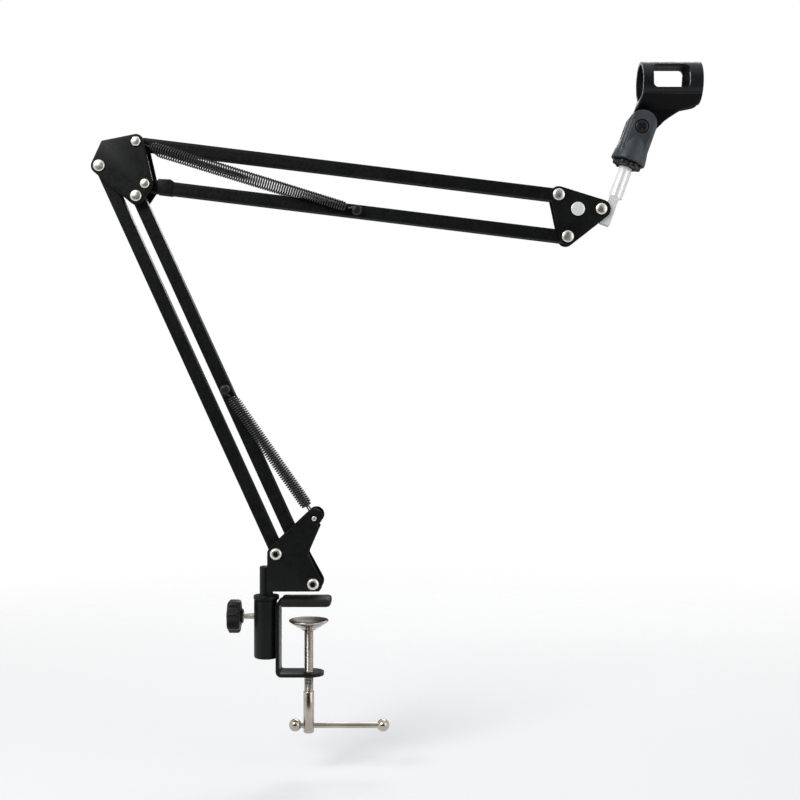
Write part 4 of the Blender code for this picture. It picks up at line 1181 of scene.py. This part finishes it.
# -------------------- studio
FLOOR_CLEARANCE = 0.001
FLOOR_RINGS = (0.3, 1.0, 3.0)
FADE_FROM = 0.10
FADE_TO = 1.40
SENSOR_MM = 36.0
LENS_MM = 55.35
CAMERA_Y = -1.050
CAMERA_RIGHT = 0.0028
CAMERA_UP = -0.0022
LAMPS = (  # name, place from the object's middle, side length, watts
    ("key", (-0.9, -1.1, 1.0), 0.8, 16),
    ("fill", (1.2, -0.9, 0.3), 1.0, 4),
    ("back", (0.2, 1.2, 0.9), 1.0, 10),
)


def make_floor(centre):
    """Pale floor that fades into the white, below the lowest place that the clamp screw reaches."""
    floor_z = CAD_BOX[0].z + JOINTS["pad_travel"]["range_m"][0] - FLOOR_CLEARANCE
    bm = bmesh.new()
    inner = [bm.verts.new((centre.x, centre.y, floor_z))]
    for radius in FLOOR_RINGS:
        outer = [bm.verts.new((x, y, floor_z)) for x, y in circle(centre.xy, radius, 60)]
        bridge(bm, inner, outer)
        inner = outer
    mesh = to_mesh(bm)
    material = bpy.data.materials.new("pale_floor")
    material.use_nodes = True
    tree = material.node_tree
    shader = tree.nodes["Principled BSDF"]
    shader.inputs["Base Color"].default_value = (0.96, 0.96, 0.96, 1)
    shader.inputs["Roughness"].default_value = 0.8
    clear = add(tree, "BsdfTransparent")
    mix = add(tree, "MixShader")
    coord = add(tree, "TexCoord")
    reach = add(tree, "VectorMath", {1: (centre.x, centre.y, floor_z)}, operation="DISTANCE")
    fade = add(tree, "MapRange", {"From Min": FADE_FROM, "From Max": FADE_TO},
               interpolation_type="SMOOTHSTEP")
    tree.links.new(coord.outputs["Object"], reach.inputs[0])
    tree.links.new(reach.outputs["Value"], fade.inputs["Value"])
    tree.links.new(fade.outputs["Result"], mix.inputs["Fac"])
    tree.links.new(shader.outputs["BSDF"], mix.inputs[1])
    tree.links.new(clear.outputs["BSDF"], mix.inputs[2])
    tree.links.new(mix.outputs["Shader"], tree.nodes["Material Output"].inputs["Surface"])
    mesh.materials.append(material)
    placed("studio_floor", mesh)


def make_world():
    """White to the camera, soft grey as a light, and a bright ring to shiny surfaces."""
    world = bpy.data.worlds.new("studio")
    world.use_nodes = True
    tree = world.node_tree
    link = tree.links.new
    path = add(tree, "LightPath")

    def background(color, strength):
        return add(tree, "Background", {"Color": (*color, 1), "Strength": strength})

    def mixed(fac, first, second):
        node = add(tree, "MixShader")
        link(fac, node.inputs["Fac"])
        link(first.outputs[0], node.inputs[1])
        link(second.outputs[0], node.inputs[2])
        return node

    coord = add(tree, "TexCoord")
    split = add(tree, "SeparateXYZ")
    depth = add(tree, "Math", operation="ABSOLUTE")
    falloff = add(tree, "MapRange", {"From Min": 0.50, "From Max": 0.95, "To Min": 1.0, "To Max": 0.05},
                  interpolation_type="SMOOTHSTEP")
    link(coord.outputs["Generated"], split.inputs[0])
    link(split.outputs["Y"], depth.inputs[0])
    link(depth.outputs[0], falloff.inputs["Value"])
    shiny = background((1.0, 0.99, 0.97), 1.0)
    link(falloff.outputs["Result"], shiny.inputs["Strength"])
    lit = mixed(path.outputs["Is Glossy Ray"], background((0.95, 0.97, 1.0), 0.42), shiny)
    seen = mixed(path.outputs["Is Camera Ray"], lit, background((1, 1, 1), 1.0))
    link(seen.outputs[0], tree.nodes["World Output"].inputs["Surface"])
    bpy.context.scene.world = world


def make_lamp(name, place, target, side, watts):
    data = bpy.data.lights.new(name, "AREA")
    data.size = side
    data.energy = watts
    lamp = placed(name, data)
    lamp.location = place
    lamp.rotation_euler = (target - place).to_track_quat("-Z", "Y").to_euler()


def make_studio():
    centre = (CAD_BOX[0] + CAD_BOX[1]) / 2
    make_floor(centre)
    make_world()
    for name, offset, side, watts in LAMPS:
        make_lamp(name, centre + Vector(offset), centre, side, watts)
    data = bpy.data.cameras.new("camera")
    data.sensor_width = SENSOR_MM
    data.lens = LENS_MM
    camera = placed("camera", data)
    camera.location = centre + Vector((CAMERA_RIGHT, CAMERA_Y - centre.y, CAMERA_UP))
    camera.rotation_euler = (math.radians(90), 0, 0)
    bpy.context.scene.camera = camera
    bpy.context.scene.view_settings.view_transform = "Standard"


make_clamp_frame()
make_jaw_pad()
make_socket()
make_thumb_screw()
make_clamp_screw()
make_base()
make_arms()
make_elbow()
make_head()
make_stud()
make_lock_ring()
make_clip_base()
make_clip_screw()
make_clip_body()
make_studio()

bpy.context.view_layer.update()
